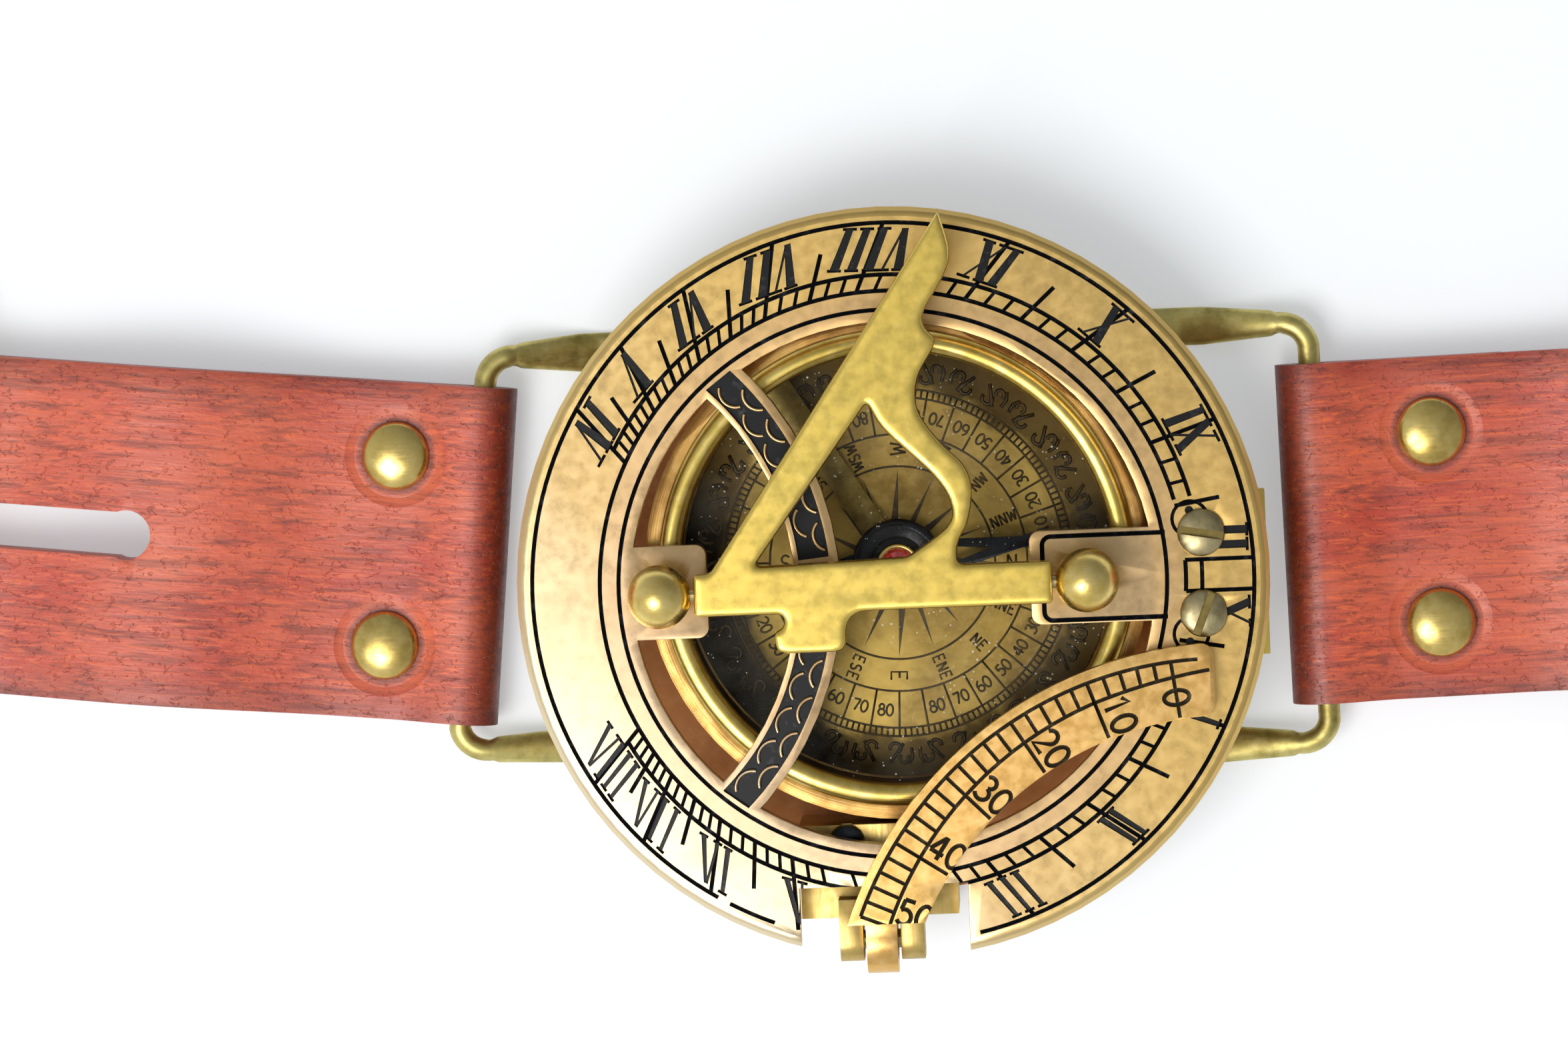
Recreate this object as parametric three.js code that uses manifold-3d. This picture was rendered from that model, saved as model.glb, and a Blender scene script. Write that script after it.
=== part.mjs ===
// Sundial compass worn on a wrist strap: a compass in a brass case, with a hinged hour ring above it,
// a folding gnomon, a folding latitude arc and two riveted leather straps.
// Millimetres, +Z up. The origin is on the compass axis at the underside of the base disc.
// +X points to the noon hinge, +Y to the side that the folded gnomon points to.

import * as THREE from 'three';
import { mergeVertices } from 'three/addons/utils/BufferGeometryUtils.js';
import Module from 'manifold-3d';

const wasm = await Module();
wasm.setup();

// Clearances that every piece shares
const fit = 0.3;
const runningFit = 0.3;
const overrun = 2;

// Hour ring
const ringRadius = 35;
const ringBandWidth = 10.7;
const ringThickness = 1.8;
const ringBevel = 0.6;
const ringCentreX = -0.4;
const ringCentreY = -1.3;
const ringAir = 0.6;
const notchWest = -9.8;
const notchEast = 5.9;
const notchDepth = 6.9;
const tabHalfWidth = 4.35;
const tabCorner = 1;
const westTabReach = 7.1;
const eastTabReach = 11.5;
const crossbarRadius = 27.3;
const crossbarX = -6.9;
const crossbarWidth = 4.2;
const padSides = 6;
const padRadius = 2.9;

// Compass case
const baseInset = 3.5;
const baseThickness = 1.5;
const bowlInset = 0.7;
const bowlHeight = 9.1;
const bowlFloor = 1;
const bowlWall = 3;
const glassInset = 2;
const glassThickness = 1.2;
const bezelInset = 1.3;
const bezelWidth = 2.1;
const bezelRise = 1.1;
const bezelFlank = 0.4;
const cardThickness = 0.8;

// Compass needle and its pivot
const pivotFootRadius = 1.2;
const pivotFootHeight = 1.5;
const pivotTipHeight = 3.7;
const needleHeight = 2.5;
const needleThickness = 0.6;
const needleHubRadius = 4.3;
const needleEndGap = 4.1;
const tailEndGap = 6.6;
const needleHeading = 8;
const capRadius = 2;
const capHeight = 1.2;
const capBore = 1;
const jewelRadius = 1.6;
const jewelRise = 0.9;
const jewelSeat = 0.3;
const jewelFaceShare = 0.55;
const needleRootShare = 0.75;
const needleWaistShare = 0.62;
const needleFlareShare = 0.8;
const needleFlareWidthShare = 0.55;
const needleWindowShare = 0.31;
const needleWindowWidthShare = 0.4;

// Needle lifter, a pivoted strip through a slot in the bowl's wall
const lifterHeading = 122;
const lifterWidth = 2.5;
const lifterThickness = 0.5;
const lifterHeight = 0.6;
const lifterRingWidth = 1.5;
const lifterTabReach = 3;
const lifterBarrelRadius = 1.1;
const lifterPinRadius = 0.4;
const lifterPinLength = 9;

// Latitude arc, with the block and clevis that carry it
const arcLap = 5.4;
const arcBandWidth = 6.7;
const arcThickness = 1.5;
const arcNearOverlap = 1.8;
const arcFarAngle = 91.3;
const arcEndCorner = 1.3;
const arcPivotInset = 1.7;
const arcPivotDrop = 2.1;
const arcCentreDrop = 11.1;
const arcCentreInset = 0.8;
const lugRadius = 3.2;
const lugWidth = 2.9;
const lugX = -2.3;
const earWidth = 2.2;
const earRadius = 2;
const earRoot = 3.7;
const arcPinRadius = 0.9;
const blockWest = -9.8;
const blockEast = 4.9;
const blockInset = 0.2;
const blockDrop = 1.1;
const blockScrewX = -5.3;
const blockScrewInset = 1.6;
const blockScrewHeadRadius = 1.4;
const blockScrewHeadHeight = 1;
const blockScrewRadius = 0.8;

// Noon hinge
const hingeInset = 5.6;
const hingeDrop = 6.9;
const hingeY = -0.3;
const hingeWidth = 15.4;
const knuckleRadius = 1.9;
const hingePinRadius = 0.8;
const leafThickness = 1.5;
const lowerLeafThickness = 1.1;
const lowerLeafInset = 4.5;
const lowerLeafReach = 1;
const lowerWebInset = 1.7;
const upperLeafInset = 4;
const upperLeafReach = 5.4;
const webWidth = 2;

// Domed screws that hold the upper leaf to the hour ring
const hingeScrewHeadRadius = 2.2;
const hingeScrewHeadHeight = 1.1;
const hingeScrewRadius = 1.1;
const hingeScrewInset = 0.7;
const hingeScrewHalfPitch = 3.75;
const hingeScrewMiddle = -0.1;
const slotWidth = 0.7;
const slotDepth = 0.55;
const blockScrewSlotWidth = 0.5;
const northSlotAngle = -10;
const southSlotAngle = 68;

// Ball posts that carry the gnomon
const westPostInset = 3;
const eastPostInset = 6.3;
const ballRadius = 2.95;
const postFootRadius = 2.2;
const postFootHeight = 0.8;
const postNeckRadius = 1.25;
const postStudRadius = 1.1;
const pivotPinRadius = 0.6;
const pivotPinDepth = 2.6;

// Gnomon
const gnomonTipInset = 0.7;
const gnomonHeelGap = 4.4;
const gnomonFootGap = 12.3;
const gnomonThickness = 2.6;
const gnomonBarRadius = 1.6;
const tailDepth = 5.6;
const tailHeelGap = 6.1;
const tailWidth = 6.6;
const tailNotchRadius = 1;
const tailFillet = 1.3;
const tailCorner = 1.2;

// Wire loops, whose ends are hammered into blades let into the base disc's underside
const wireRadius = 1.05;
const westLoopSideGap = 2.7;
const eastLoopSideGap = 3.9;
const westLoopCentreY = 2.4;
const eastLoopCentreY = 1.3;
const westLoopOverhang = 5.4;
const eastLoopOverhang = 4.8;
const westLoopSlant = 6;
const eastLoopSlant = 1;
const loopCorner = 3.2;
const loopBarHeight = 3.6;
const bladeWidth = 3.6;
const bladeThickness = 1;
const bladeEndInset = 1.9;
const bladeLength = 11;
const bladeLap = 2;
const bladeTaperReach = 1.5;

// Leather straps and their rivets
const strapWidth = 32;
const leather = 2;
const westStrapLength = 51;
const westStrapRise = 2.5;
const eastStrapLength = 112;
const eastStrapRise = 3.4;
const eastFlapLength = 18;
const eastCrestX = 36;
const eastLandX = 78;
const westRivetX = 7.6;
const eastRivetX = 10.8;
const rivetEdgeGap = 7;
const rivetCapRadius = 3.25;
const rivetCapHeight = 1.1;
const rivetShankRadius = 1.5;
const rivetBackRadius = 3;
const rivetBackHeight = 0.6;
const rivetSink = 0.3;
const strapHoleRadius = 1.5;
const strapHolePitch = 9;
const strapHoleTipGap = 16;
const strapHoleCount = 5;
const strapTipRadius = 14;

// Buckle on the west strap
const prongSlotWidth = 4.2;
const prongSlotLength = 18.5;
const prongSlotEndRadius = 2.35;
const buckleBarRadius = 1.05;
const buckleReach = 19;
const buckleArmWidth = 3;
const buckleArmGap = 1.2;
const buckleThickness = 2.6;
const buckleEyeWall = 0.9;
const buckleDroop = 6.5;
const prongRadius = 1.2;
const prongWidth = 3.2;
const prongOverhang = 1;

// Facets of round pieces
const fineSteps = 60;
const ringSteps = 78;
const mediumSteps = 28;
const rivetSteps = 20;
const smallSteps = 14;
const jewelFacets = 8;
const cornerSteps = 6;
const strapSteps = 32;

// Plan sizes that follow from the ring's radius
const ringOpeningRadius = ringRadius - ringBandWidth;
const notchFloorRadius = ringRadius - notchDepth;
const westTabEnd = westTabReach - ringOpeningRadius;
const eastTabEnd = ringOpeningRadius - eastTabReach;
const baseRadius = ringRadius - baseInset;
const bowlRadius = ringOpeningRadius - bowlInset;
const glassRadius = bowlRadius - glassInset;
const bezelOuterRadius = bowlRadius - bezelInset;
const bezelInnerRadius = bezelOuterRadius - bezelWidth;
const needleReach = bowlRadius - bowlWall - needleEndGap;
const needleTail = bowlRadius - bowlWall - tailEndGap;
const hingeX = ringRadius - hingeInset;
const arcPivotY = arcPivotInset - ringRadius;
const arcCentreX = hingeX + arcCentreInset;
const arcCentreY = arcPivotY - arcCentreDrop;
const arcOuterRadius = arcCentreX - lugX + arcLap;
const arcInnerRadius = arcOuterRadius - arcBandWidth;
const blockOuterRadius = baseRadius - blockInset;
const westPostX = westPostInset - ringOpeningRadius;
const eastPostX = ringOpeningRadius - eastPostInset;
const gnomonHeelX = westPostX + gnomonHeelGap;
const gnomonSpan = eastPostX - gnomonFootGap - gnomonHeelX;
const gnomonHeight = ringRadius - gnomonTipInset;
const tailWest = gnomonHeelX + tailHeelGap;
const tailEast = tailWest + tailWidth;
const westLoopReach = ringRadius + westLoopOverhang;
const eastLoopReach = ringRadius + eastLoopOverhang;
const bladeOuterX = baseRadius - bladeEndInset;
const bladeInnerX = bladeOuterX - bladeLength;
const bladeTaperX = ringRadius + bladeTaperReach;
const westLoopHalfWidth = strapWidth / 2 + westLoopSideGap;
const eastLoopHalfWidth = strapWidth / 2 + eastLoopSideGap;
const rivetHalfPitch = strapWidth / 2 - rivetEdgeGap;

// Heights worked out from the sizes above
const bowlTop = baseThickness + bowlHeight;
const ringBottom = bowlTop + bezelRise + ringAir;
const ringTop = ringBottom + ringThickness;
const gnomonAxisZ = ringTop + tailDepth + runningFit;
const arcPivotZ = ringTop - arcPivotDrop;
const arcBottom = ringTop + fit;
const hingeZ = arcPivotZ - hingeDrop;
const blockTop = ringBottom - blockDrop;
const cardBottom = baseThickness + bowlFloor;
const cardTop = cardBottom + cardThickness;
const glassBottom = bowlTop - glassThickness;
const needleBottom = cardBottom + needleHeight;
const lifterBottom = cardTop + lifterHeight;
const lifterMiddle = lifterBottom + lifterThickness / 2;

const radians = THREE.MathUtils.degToRad;

const metals = {
  ring: { color: 0xc09a62, roughness: 0.34, metalness: 0.95 },
  gnomon: { color: 0xb39a3c, roughness: 0.36, metalness: 0.95 },
  arc: { color: 0xc98f3a, roughness: 0.32, metalness: 0.95 },
  polished: { color: 0xd4a94a, roughness: 0.18, metalness: 1 },
  base: { color: 0x8a5a34, roughness: 0.42, metalness: 0.9 },
  wire: { color: 0x8d7a3e, roughness: 0.4, metalness: 0.95 },
  dark: { color: 0x1d2328, roughness: 0.5, metalness: 0.7 },
  steel: { color: 0x8f887c, roughness: 0.35, metalness: 1 },
};

function metal(name) {
  return new THREE.MeshStandardMaterial(metals[name]);
}

function leatherMaterial() {
  return new THREE.MeshStandardMaterial({ color: 0x7a2a16, roughness: 0.55, metalness: 0 });
}

function glassMaterial() {
  return new THREE.MeshStandardMaterial({
    color: 0xdfe8e6, roughness: 0.05, metalness: 0, transparent: true, opacity: 0.35,
  });
}

// A manifold solid from a closed three.js geometry, without the triangles that merging flattens
function solid(geometry) {
  const bare = geometry.clone();
  bare.deleteAttribute('normal');
  bare.deleteAttribute('uv');
  const merged = mergeVertices(bare, 1e-5);
  const corners = merged.index.array;
  const triVerts = [];
  for (let at = 0; at < corners.length; at += 3) {
    const [a, b, c] = corners.slice(at, at + 3);
    if (a !== b && b !== c && c !== a) {
      triVerts.push(a, b, c);
    }
  }
  const mesh = new wasm.Mesh({
    numProp: 3,
    vertProperties: new Float32Array(merged.attributes.position.array),
    triVerts: new Uint32Array(triVerts),
  });
  return new wasm.Manifold(mesh);
}

function geometryOf(manifold) {
  const mesh = manifold.getMesh();
  const geometry = new THREE.BufferGeometry();
  geometry.setAttribute('position', new THREE.BufferAttribute(mesh.vertProperties, 3));
  geometry.setIndex(new THREE.BufferAttribute(mesh.triVerts, 1));
  const flat = geometry.toNonIndexed();
  flat.computeVertexNormals();
  return flat;
}

function join(...pieces) {
  return pieces.reduce((whole, piece) => whole.add(piece));
}

function cut(body, ...tools) {
  return tools.reduce((rest, tool) => rest.subtract(tool), body);
}

// A plan outline extruded between two heights
function slab(shape, bottom, top, curveSegments = mediumSteps) {
  const geometry = new THREE.ExtrudeGeometry(shape, {
    depth: top - bottom, bevelEnabled: false, curveSegments,
  });
  geometry.translate(0, 0, bottom);
  return solid(geometry);
}

// A profile of [radius, height] points turned about the Z axis
function turned(profile, steps = fineSteps) {
  const points = profile.map(([radius, height]) => new THREE.Vector2(radius, height));
  const geometry = new THREE.LatheGeometry(points, steps);
  geometry.rotateX(Math.PI / 2);
  return solid(geometry);
}

function disc(radius, bottom, top, steps = fineSteps) {
  return turned([[0, bottom], [radius, bottom], [radius, top], [0, top]], steps);
}

function hoop(inner, outer, bottom, top, steps = fineSteps) {
  return turned([[inner, bottom], [outer, bottom], [outer, top], [inner, top], [inner, bottom]], steps);
}

function box(west, east, south, north, bottom, top) {
  const geometry = new THREE.BoxGeometry(east - west, north - south, top - bottom);
  geometry.translate((west + east) / 2, (south + north) / 2, (bottom + top) / 2);
  return solid(geometry);
}

// A round bar between two places along X
function barAlongX(radius, from, to, y, z, steps = smallSteps) {
  return disc(radius, from, to, steps).rotate([0, 90, 0]).translate([0, y, z]);
}

// A round bar between two places along Y
function barAlongY(radius, from, to, x, z, steps = smallSteps) {
  return disc(radius, from, to, steps).rotate([-90, 0, 0]).translate([x, 0, z]);
}

function roundedBox(west, east, south, north, corner) {
  const shape = new THREE.Shape();
  shape.moveTo(west + corner, south);
  shape.lineTo(east - corner, south);
  shape.absarc(east - corner, south + corner, corner, -Math.PI / 2, 0, false);
  shape.lineTo(east, north - corner);
  shape.absarc(east - corner, north - corner, corner, 0, Math.PI / 2, false);
  shape.lineTo(west + corner, north);
  shape.absarc(west + corner, north - corner, corner, Math.PI / 2, Math.PI, false);
  shape.lineTo(west, south + corner);
  shape.absarc(west + corner, south + corner, corner, Math.PI, Math.PI * 1.5, false);
  return shape;
}

function part(name, manifold, material) {
  const mesh = new THREE.Mesh(geometryOf(manifold), material);
  mesh.name = name;
  return mesh;
}

// Compass case

function lifterSlot() {
  const halfHeight = lifterBarrelRadius + fit;
  const bottom = lifterMiddle - halfHeight;
  const halfWidth = lifterWidth / 2 + fit;
  const slot = box(
    bowlRadius - bowlWall - overrun, bowlRadius + overrun, -halfWidth, halfWidth,
    bottom, lifterMiddle + halfHeight,
  );
  const pinX = bowlRadius - bowlWall / 2;
  const pinHole = barAlongY(lifterPinRadius + fit, -bowlRadius, bowlRadius, pinX, lifterMiddle);
  return join(slot, pinHole).rotate([0, 0, lifterHeading]);
}

function caseBowl() {
  const innerRadius = bowlRadius - bowlWall;
  const seatRadius = glassRadius + fit;
  const shell = turned([
    [0, baseThickness], [bowlRadius, baseThickness], [bowlRadius, bowlTop], [seatRadius, bowlTop],
    [seatRadius, glassBottom], [innerRadius, glassBottom], [innerRadius, cardBottom], [0, cardBottom],
  ]);
  return cut(shell, lifterSlot());
}

function bezel() {
  const profile = [[bezelInnerRadius, bowlTop], [bezelOuterRadius, bowlTop]];
  const middle = (bezelInnerRadius + bezelOuterRadius) / 2;
  const halfWidth = (bezelOuterRadius - bezelInnerRadius) / 2;
  const crown = bezelRise - bezelFlank;
  const crownSteps = 4;
  for (let step = 0; step <= crownSteps; step += 1) {
    const angle = (Math.PI * step) / crownSteps;
    profile.push([
      middle + halfWidth * Math.cos(angle),
      bowlTop + bezelFlank + crown * Math.sin(angle),
    ]);
  }
  profile.push([bezelInnerRadius, bowlTop]);
  return turned(profile);
}

function card() {
  return hoop(pivotFootRadius + fit, bowlRadius - bowlWall - fit, cardBottom, cardTop);
}

function needlePivot() {
  const shoulder = cardBottom + pivotFootHeight;
  return turned([
    [0, cardBottom], [pivotFootRadius, cardBottom], [pivotFootRadius, shoulder],
    [pivotFootRadius / 2, shoulder], [0, cardBottom + pivotTipHeight],
  ], smallSteps);
}

// The base disc has a threaded hole under the block's screw, and a seat in its underside for each blade
function baseDisc() {
  const plate = disc(baseRadius, 0, baseThickness);
  const screwHole = disc(blockScrewRadius + fit, -overrun, baseThickness + overrun, smallSteps);
  const halfWidth = bladeWidth / 2 + fit;
  const seats = [1, -1].flatMap((side) => {
    const east = eastLoopCentreY + side * eastLoopHalfWidth;
    const west = westLoopCentreY + side * westLoopHalfWidth;
    return [
      box(bladeInnerX - fit, baseRadius, east - halfWidth, east + halfWidth, -overrun, bladeThickness),
      box(-baseRadius, fit - bladeInnerX, west - halfWidth, west + halfWidth, -overrun, bladeThickness),
    ];
  });
  return cut(plate, ...seats, screwHole.translate([
    ringCentreX + blockScrewX, ringCentreY + blockScrewY(), 0,
  ]));
}

function caseParts() {
  const group = new THREE.Group();
  group.add(
    part('base_disc', baseDisc(), metal('base')),
    part('case_bowl', caseBowl(), metal('polished')),
    part('bezel_ring', bezel(), metal('polished')),
    part('glass', disc(glassRadius, glassBottom, bowlTop - fit / 2), glassMaterial()),
    part('compass_card', card(), metal('arc')),
    part('needle_pivot', needlePivot(), metal('steel')),
  );
  return group;
}

// Needle and lifter

function needleArm(reach, rootWidth, waistWidth, flareWidth) {
  const arm = new THREE.Shape();
  const waistX = needleHubRadius + (reach - needleHubRadius) * needleWaistShare;
  const flareX = needleHubRadius + (reach - needleHubRadius) * needleFlareShare;
  arm.moveTo(0, -rootWidth / 2);
  arm.lineTo(needleHubRadius, -rootWidth / 2);
  arm.lineTo(waistX, -waistWidth / 2);
  arm.lineTo(flareX, -flareWidth / 2);
  arm.lineTo(reach, 0);
  arm.lineTo(flareX, flareWidth / 2);
  arm.lineTo(waistX, waistWidth / 2);
  arm.lineTo(needleHubRadius, rootWidth / 2);
  arm.lineTo(0, rootWidth / 2);
  return arm;
}

function needleWindow() {
  const start = needleHubRadius + needleThickness;
  const length = (needleReach - needleHubRadius) * needleWindowShare;
  const halfWidth = (needleHubRadius * needleWindowWidthShare) / 2;
  const window = new THREE.Shape();
  window.moveTo(start, -halfWidth);
  window.lineTo(start + length, 0);
  window.lineTo(start, halfWidth);
  return window;
}

function needleBody() {
  const top = needleBottom + needleThickness;
  const rootWidth = needleHubRadius * needleRootShare;
  const waistWidth = rootWidth / 3;
  const flareWidth = rootWidth * needleFlareWidthShare;
  const northArm = slab(needleArm(needleReach, rootWidth, waistWidth, flareWidth), needleBottom, top);
  const southArm = slab(needleArm(needleTail, rootWidth, waistWidth, flareWidth), needleBottom, top);
  const hub = disc(needleHubRadius, needleBottom, top, mediumSteps);
  return cut(
    join(hub, northArm, southArm.rotate([0, 0, 180])),
    disc(capBore, needleBottom - overrun, top + overrun, smallSteps),
    slab(needleWindow(), needleBottom - overrun, top + overrun),
  );
}

function needleCap() {
  const bottom = needleBottom + needleThickness;
  const top = bottom + capHeight;
  const boreTop = top - jewelSeat - fit;
  return cut(
    disc(capRadius, bottom, top, mediumSteps),
    disc(capBore, bottom - overrun, boreTop, smallSteps),
    disc(jewelRadius + fit / 2, top - jewelSeat, top + overrun, smallSteps),
  );
}

function jewel() {
  const seat = needleBottom + needleThickness + capHeight - jewelSeat;
  return turned([
    [0, seat], [jewelRadius, seat], [jewelRadius, seat + jewelSeat],
    [jewelRadius * jewelFaceShare, seat + jewelRise], [0, seat + jewelRise],
  ], jewelFacets);
}

function lifter() {
  const top = lifterBottom + lifterThickness;
  const ringInner = pivotFootRadius + fit * 2;
  const ringOuter = ringInner + lifterRingWidth;
  const pinX = bowlRadius - bowlWall / 2;
  const strip = box(
    (ringInner + ringOuter) / 2, bowlRadius + lifterTabReach, -lifterWidth / 2, lifterWidth / 2,
    lifterBottom, top,
  );
  const barrel = barAlongY(lifterBarrelRadius, -lifterWidth / 2, lifterWidth / 2, pinX, lifterMiddle);
  const ring = hoop(ringInner, ringOuter, lifterBottom, top, mediumSteps);
  const pinHole = barAlongY(lifterPinRadius + fit, -lifterWidth, lifterWidth, pinX, lifterMiddle);
  return cut(join(strip, barrel, ring), pinHole).rotate([0, 0, lifterHeading]);
}

function lifterPin() {
  const pinX = bowlRadius - bowlWall / 2;
  const half = lifterPinLength / 2;
  return barAlongY(lifterPinRadius, -half, half, pinX, lifterMiddle).rotate([0, 0, lifterHeading]);
}

function needleParts() {
  const group = new THREE.Group();
  group.add(
    part('compass_needle', needleBody().rotate([0, 0, needleHeading]), metal('dark')),
    part('needle_cap', needleCap(), metal('arc')),
    part('needle_jewel', jewel(), new THREE.MeshStandardMaterial({ color: 0xa01020, roughness: 0.15 })),
    part('needle_lifter', lifter(), metal('wire')),
    part('lifter_pin', lifterPin(), metal('steel')),
  );
  return group;
}

// Hour ring

function ringPlate() {
  const flank = ringTop - ringBevel;
  return turned([
    [ringOpeningRadius, ringBottom], [ringRadius, ringBottom], [ringRadius, flank],
    [ringRadius - ringBevel, ringTop], [ringOpeningRadius, ringTop], [ringOpeningRadius, ringBottom],
  ], ringSteps);
}

function crossbar() {
  const centreX = crossbarX - crossbarRadius;
  const bow = hoop(
    crossbarRadius - crossbarWidth / 2, crossbarRadius + crossbarWidth / 2, ringBottom, ringTop,
  ).translate([centreX, 0, 0]);
  const inside = disc(ringOpeningRadius + ringBevel, ringBottom, ringTop);
  const pad = disc(padRadius, ringBottom, ringTop, padSides).translate([crossbarX, 0, 0]);
  return join(bow.intersect(inside), pad);
}

function hourRing() {
  const westTab = slab(
    roundedBox(-ringOpeningRadius - tabCorner, westTabEnd, -tabHalfWidth, tabHalfWidth, tabCorner),
    ringBottom, ringTop, cornerSteps,
  );
  const eastTab = slab(
    roundedBox(eastTabEnd, ringOpeningRadius + tabCorner, -tabHalfWidth, tabHalfWidth, tabCorner),
    ringBottom, ringTop, cornerSteps,
  );
  const notch = box(
    notchWest, notchEast, -ringRadius - overrun, -notchFloorRadius,
    ringBottom - overrun, ringTop + overrun,
  );
  const studHoles = [westPostX, eastPostX].map((x) => disc(
    postStudRadius + fit, ringBottom - overrun, ringTop + overrun, smallSteps,
  ).translate([x, 0, 0]));
  const screwHoles = hingeScrewPlaces().map(([x, y]) => disc(
    hingeScrewRadius + fit, ringBottom - overrun, ringTop + overrun, smallSteps,
  ).translate([x, y, 0]));
  return cut(join(ringPlate(), westTab, eastTab, crossbar()), notch, ...studHoles, ...screwHoles);
}

// Noon hinge

function hingeScrewPlaces() {
  const x = hingeX - hingeScrewInset;
  return [
    [x, hingeScrewMiddle + hingeScrewHalfPitch],
    [x, hingeScrewMiddle - hingeScrewHalfPitch],
  ];
}

function knuckleLength() {
  return (hingeWidth - runningFit * 2) / 3;
}

function upperLeaf() {
  const bottom = ringBottom - leafThickness;
  const flange = box(
    hingeX - upperLeafInset, hingeX + upperLeafReach, hingeY - hingeWidth / 2, hingeY + hingeWidth / 2,
    bottom, ringBottom,
  );
  const south = hingeY - knuckleLength() / 2;
  const north = hingeY + knuckleLength() / 2;
  const web = box(
    hingeX - webWidth / 2, hingeX + webWidth / 2, south, north, hingeZ, bottom + leafThickness / 2,
  );
  const knuckle = barAlongY(knuckleRadius, south, north, hingeX, hingeZ);
  const pinHole = barAlongY(hingePinRadius + fit, -hingeWidth, hingeWidth, hingeX, hingeZ);
  const screwHoles = hingeScrewPlaces().map(([x, y]) => disc(
    hingeScrewRadius + fit, bottom - overrun, ringBottom + overrun, smallSteps,
  ).translate([x, y, 0]));
  return cut(join(flange, web, knuckle), pinHole, ...screwHoles);
}

function lowerLeaf() {
  const south = hingeY - hingeWidth / 2;
  const north = hingeY + hingeWidth / 2;
  const flangeTop = baseThickness + lowerLeafThickness;
  const flange = box(
    hingeX - lowerLeafInset, hingeX + lowerLeafReach, south, north, baseThickness, flangeTop,
  );
  const web = box(
    hingeX - lowerWebInset, hingeX + lowerLeafReach, south, north,
    flangeTop - lowerLeafThickness / 2, hingeZ,
  );
  const knuckle = barAlongY(knuckleRadius, south, north, hingeX, hingeZ);
  const halfGap = knuckleLength() / 2 + runningFit;
  const gap = box(
    hingeX - lowerLeafInset - overrun, hingeX + knuckleRadius + overrun,
    hingeY - halfGap, hingeY + halfGap, flangeTop, hingeZ + knuckleRadius + overrun,
  );
  const pinHole = barAlongY(hingePinRadius + fit, -hingeWidth, hingeWidth, hingeX, hingeZ);
  return cut(join(flange, web, knuckle), gap, pinHole);
}

function hingePin() {
  const half = hingeWidth / 2;
  return barAlongY(hingePinRadius, hingeY - half, hingeY + half, hingeX, hingeZ);
}

function hingeScrew(slotAngle) {
  const shankBottom = ringBottom - leafThickness + fit;
  const profile = [[0, shankBottom], [hingeScrewRadius, shankBottom], [hingeScrewRadius, ringTop]];
  const rimHeight = hingeScrewHeadHeight / 3;
  const domeSteps = 4;
  profile.push([hingeScrewHeadRadius, ringTop]);
  for (let step = 0; step <= domeSteps; step += 1) {
    const angle = (Math.PI / 2) * (step / domeSteps);
    profile.push([
      hingeScrewHeadRadius * Math.cos(angle),
      ringTop + rimHeight + (hingeScrewHeadHeight - rimHeight) * Math.sin(angle),
    ]);
  }
  profile[profile.length - 1][0] = 0;
  const slot = box(
    -hingeScrewHeadRadius - overrun, hingeScrewHeadRadius + overrun, -slotWidth / 2, slotWidth / 2,
    ringTop + hingeScrewHeadHeight - slotDepth, ringTop + hingeScrewHeadHeight + overrun,
  );
  return cut(turned(profile, mediumSteps), slot).rotate([0, 0, slotAngle]);
}

function hingeScrews() {
  const names = ['hinge_screw_north', 'hinge_screw_south'];
  const angles = [northSlotAngle, southSlotAngle];
  return hingeScrewPlaces().map(([x, y], index) => {
    const mesh = part(names[index], hingeScrew(angles[index]), metal('steel'));
    mesh.position.set(x, y, 0);
    return mesh;
  });
}

// Ball posts and gnomon

function ballPost(facing) {
  const footTop = ringTop + postFootHeight;
  const profile = [
    [0, ringBottom], [postStudRadius, ringBottom], [postStudRadius, ringTop],
    [postFootRadius, ringTop], [postFootRadius, footTop - postFootHeight / 3],
    [postNeckRadius, footTop + postFootHeight / 3],
  ];
  const ballSteps = 7;
  const start = Math.asin(postNeckRadius / ballRadius);
  for (let step = 0; step <= ballSteps; step += 1) {
    const angle = start + (Math.PI - start) * (step / ballSteps);
    profile.push([ballRadius * Math.sin(angle), gnomonAxisZ - ballRadius * Math.cos(angle)]);
  }
  profile[profile.length - 1][0] = 0;
  const from = facing > 0 ? 0 : -ballRadius - overrun;
  const to = facing > 0 ? ballRadius + overrun : 0;
  const socket = barAlongX(pivotPinRadius + fit, from, to, 0, gnomonAxisZ);
  return cut(turned(profile, mediumSteps), socket);
}

function gnomonBarEnds() {
  return [westPostX + ballRadius + runningFit, eastPostX - ballRadius - runningFit];
}

function gnomonPivotPin(facing) {
  const [west, east] = gnomonBarEnds();
  const end = facing > 0 ? west : east;
  const inner = end + facing * pivotPinDepth;
  const outer = end - facing * (runningFit + ballRadius - fit * 2);
  return barAlongX(pivotPinRadius, Math.min(inner, outer), Math.max(inner, outer), 0, 0);
}

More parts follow.
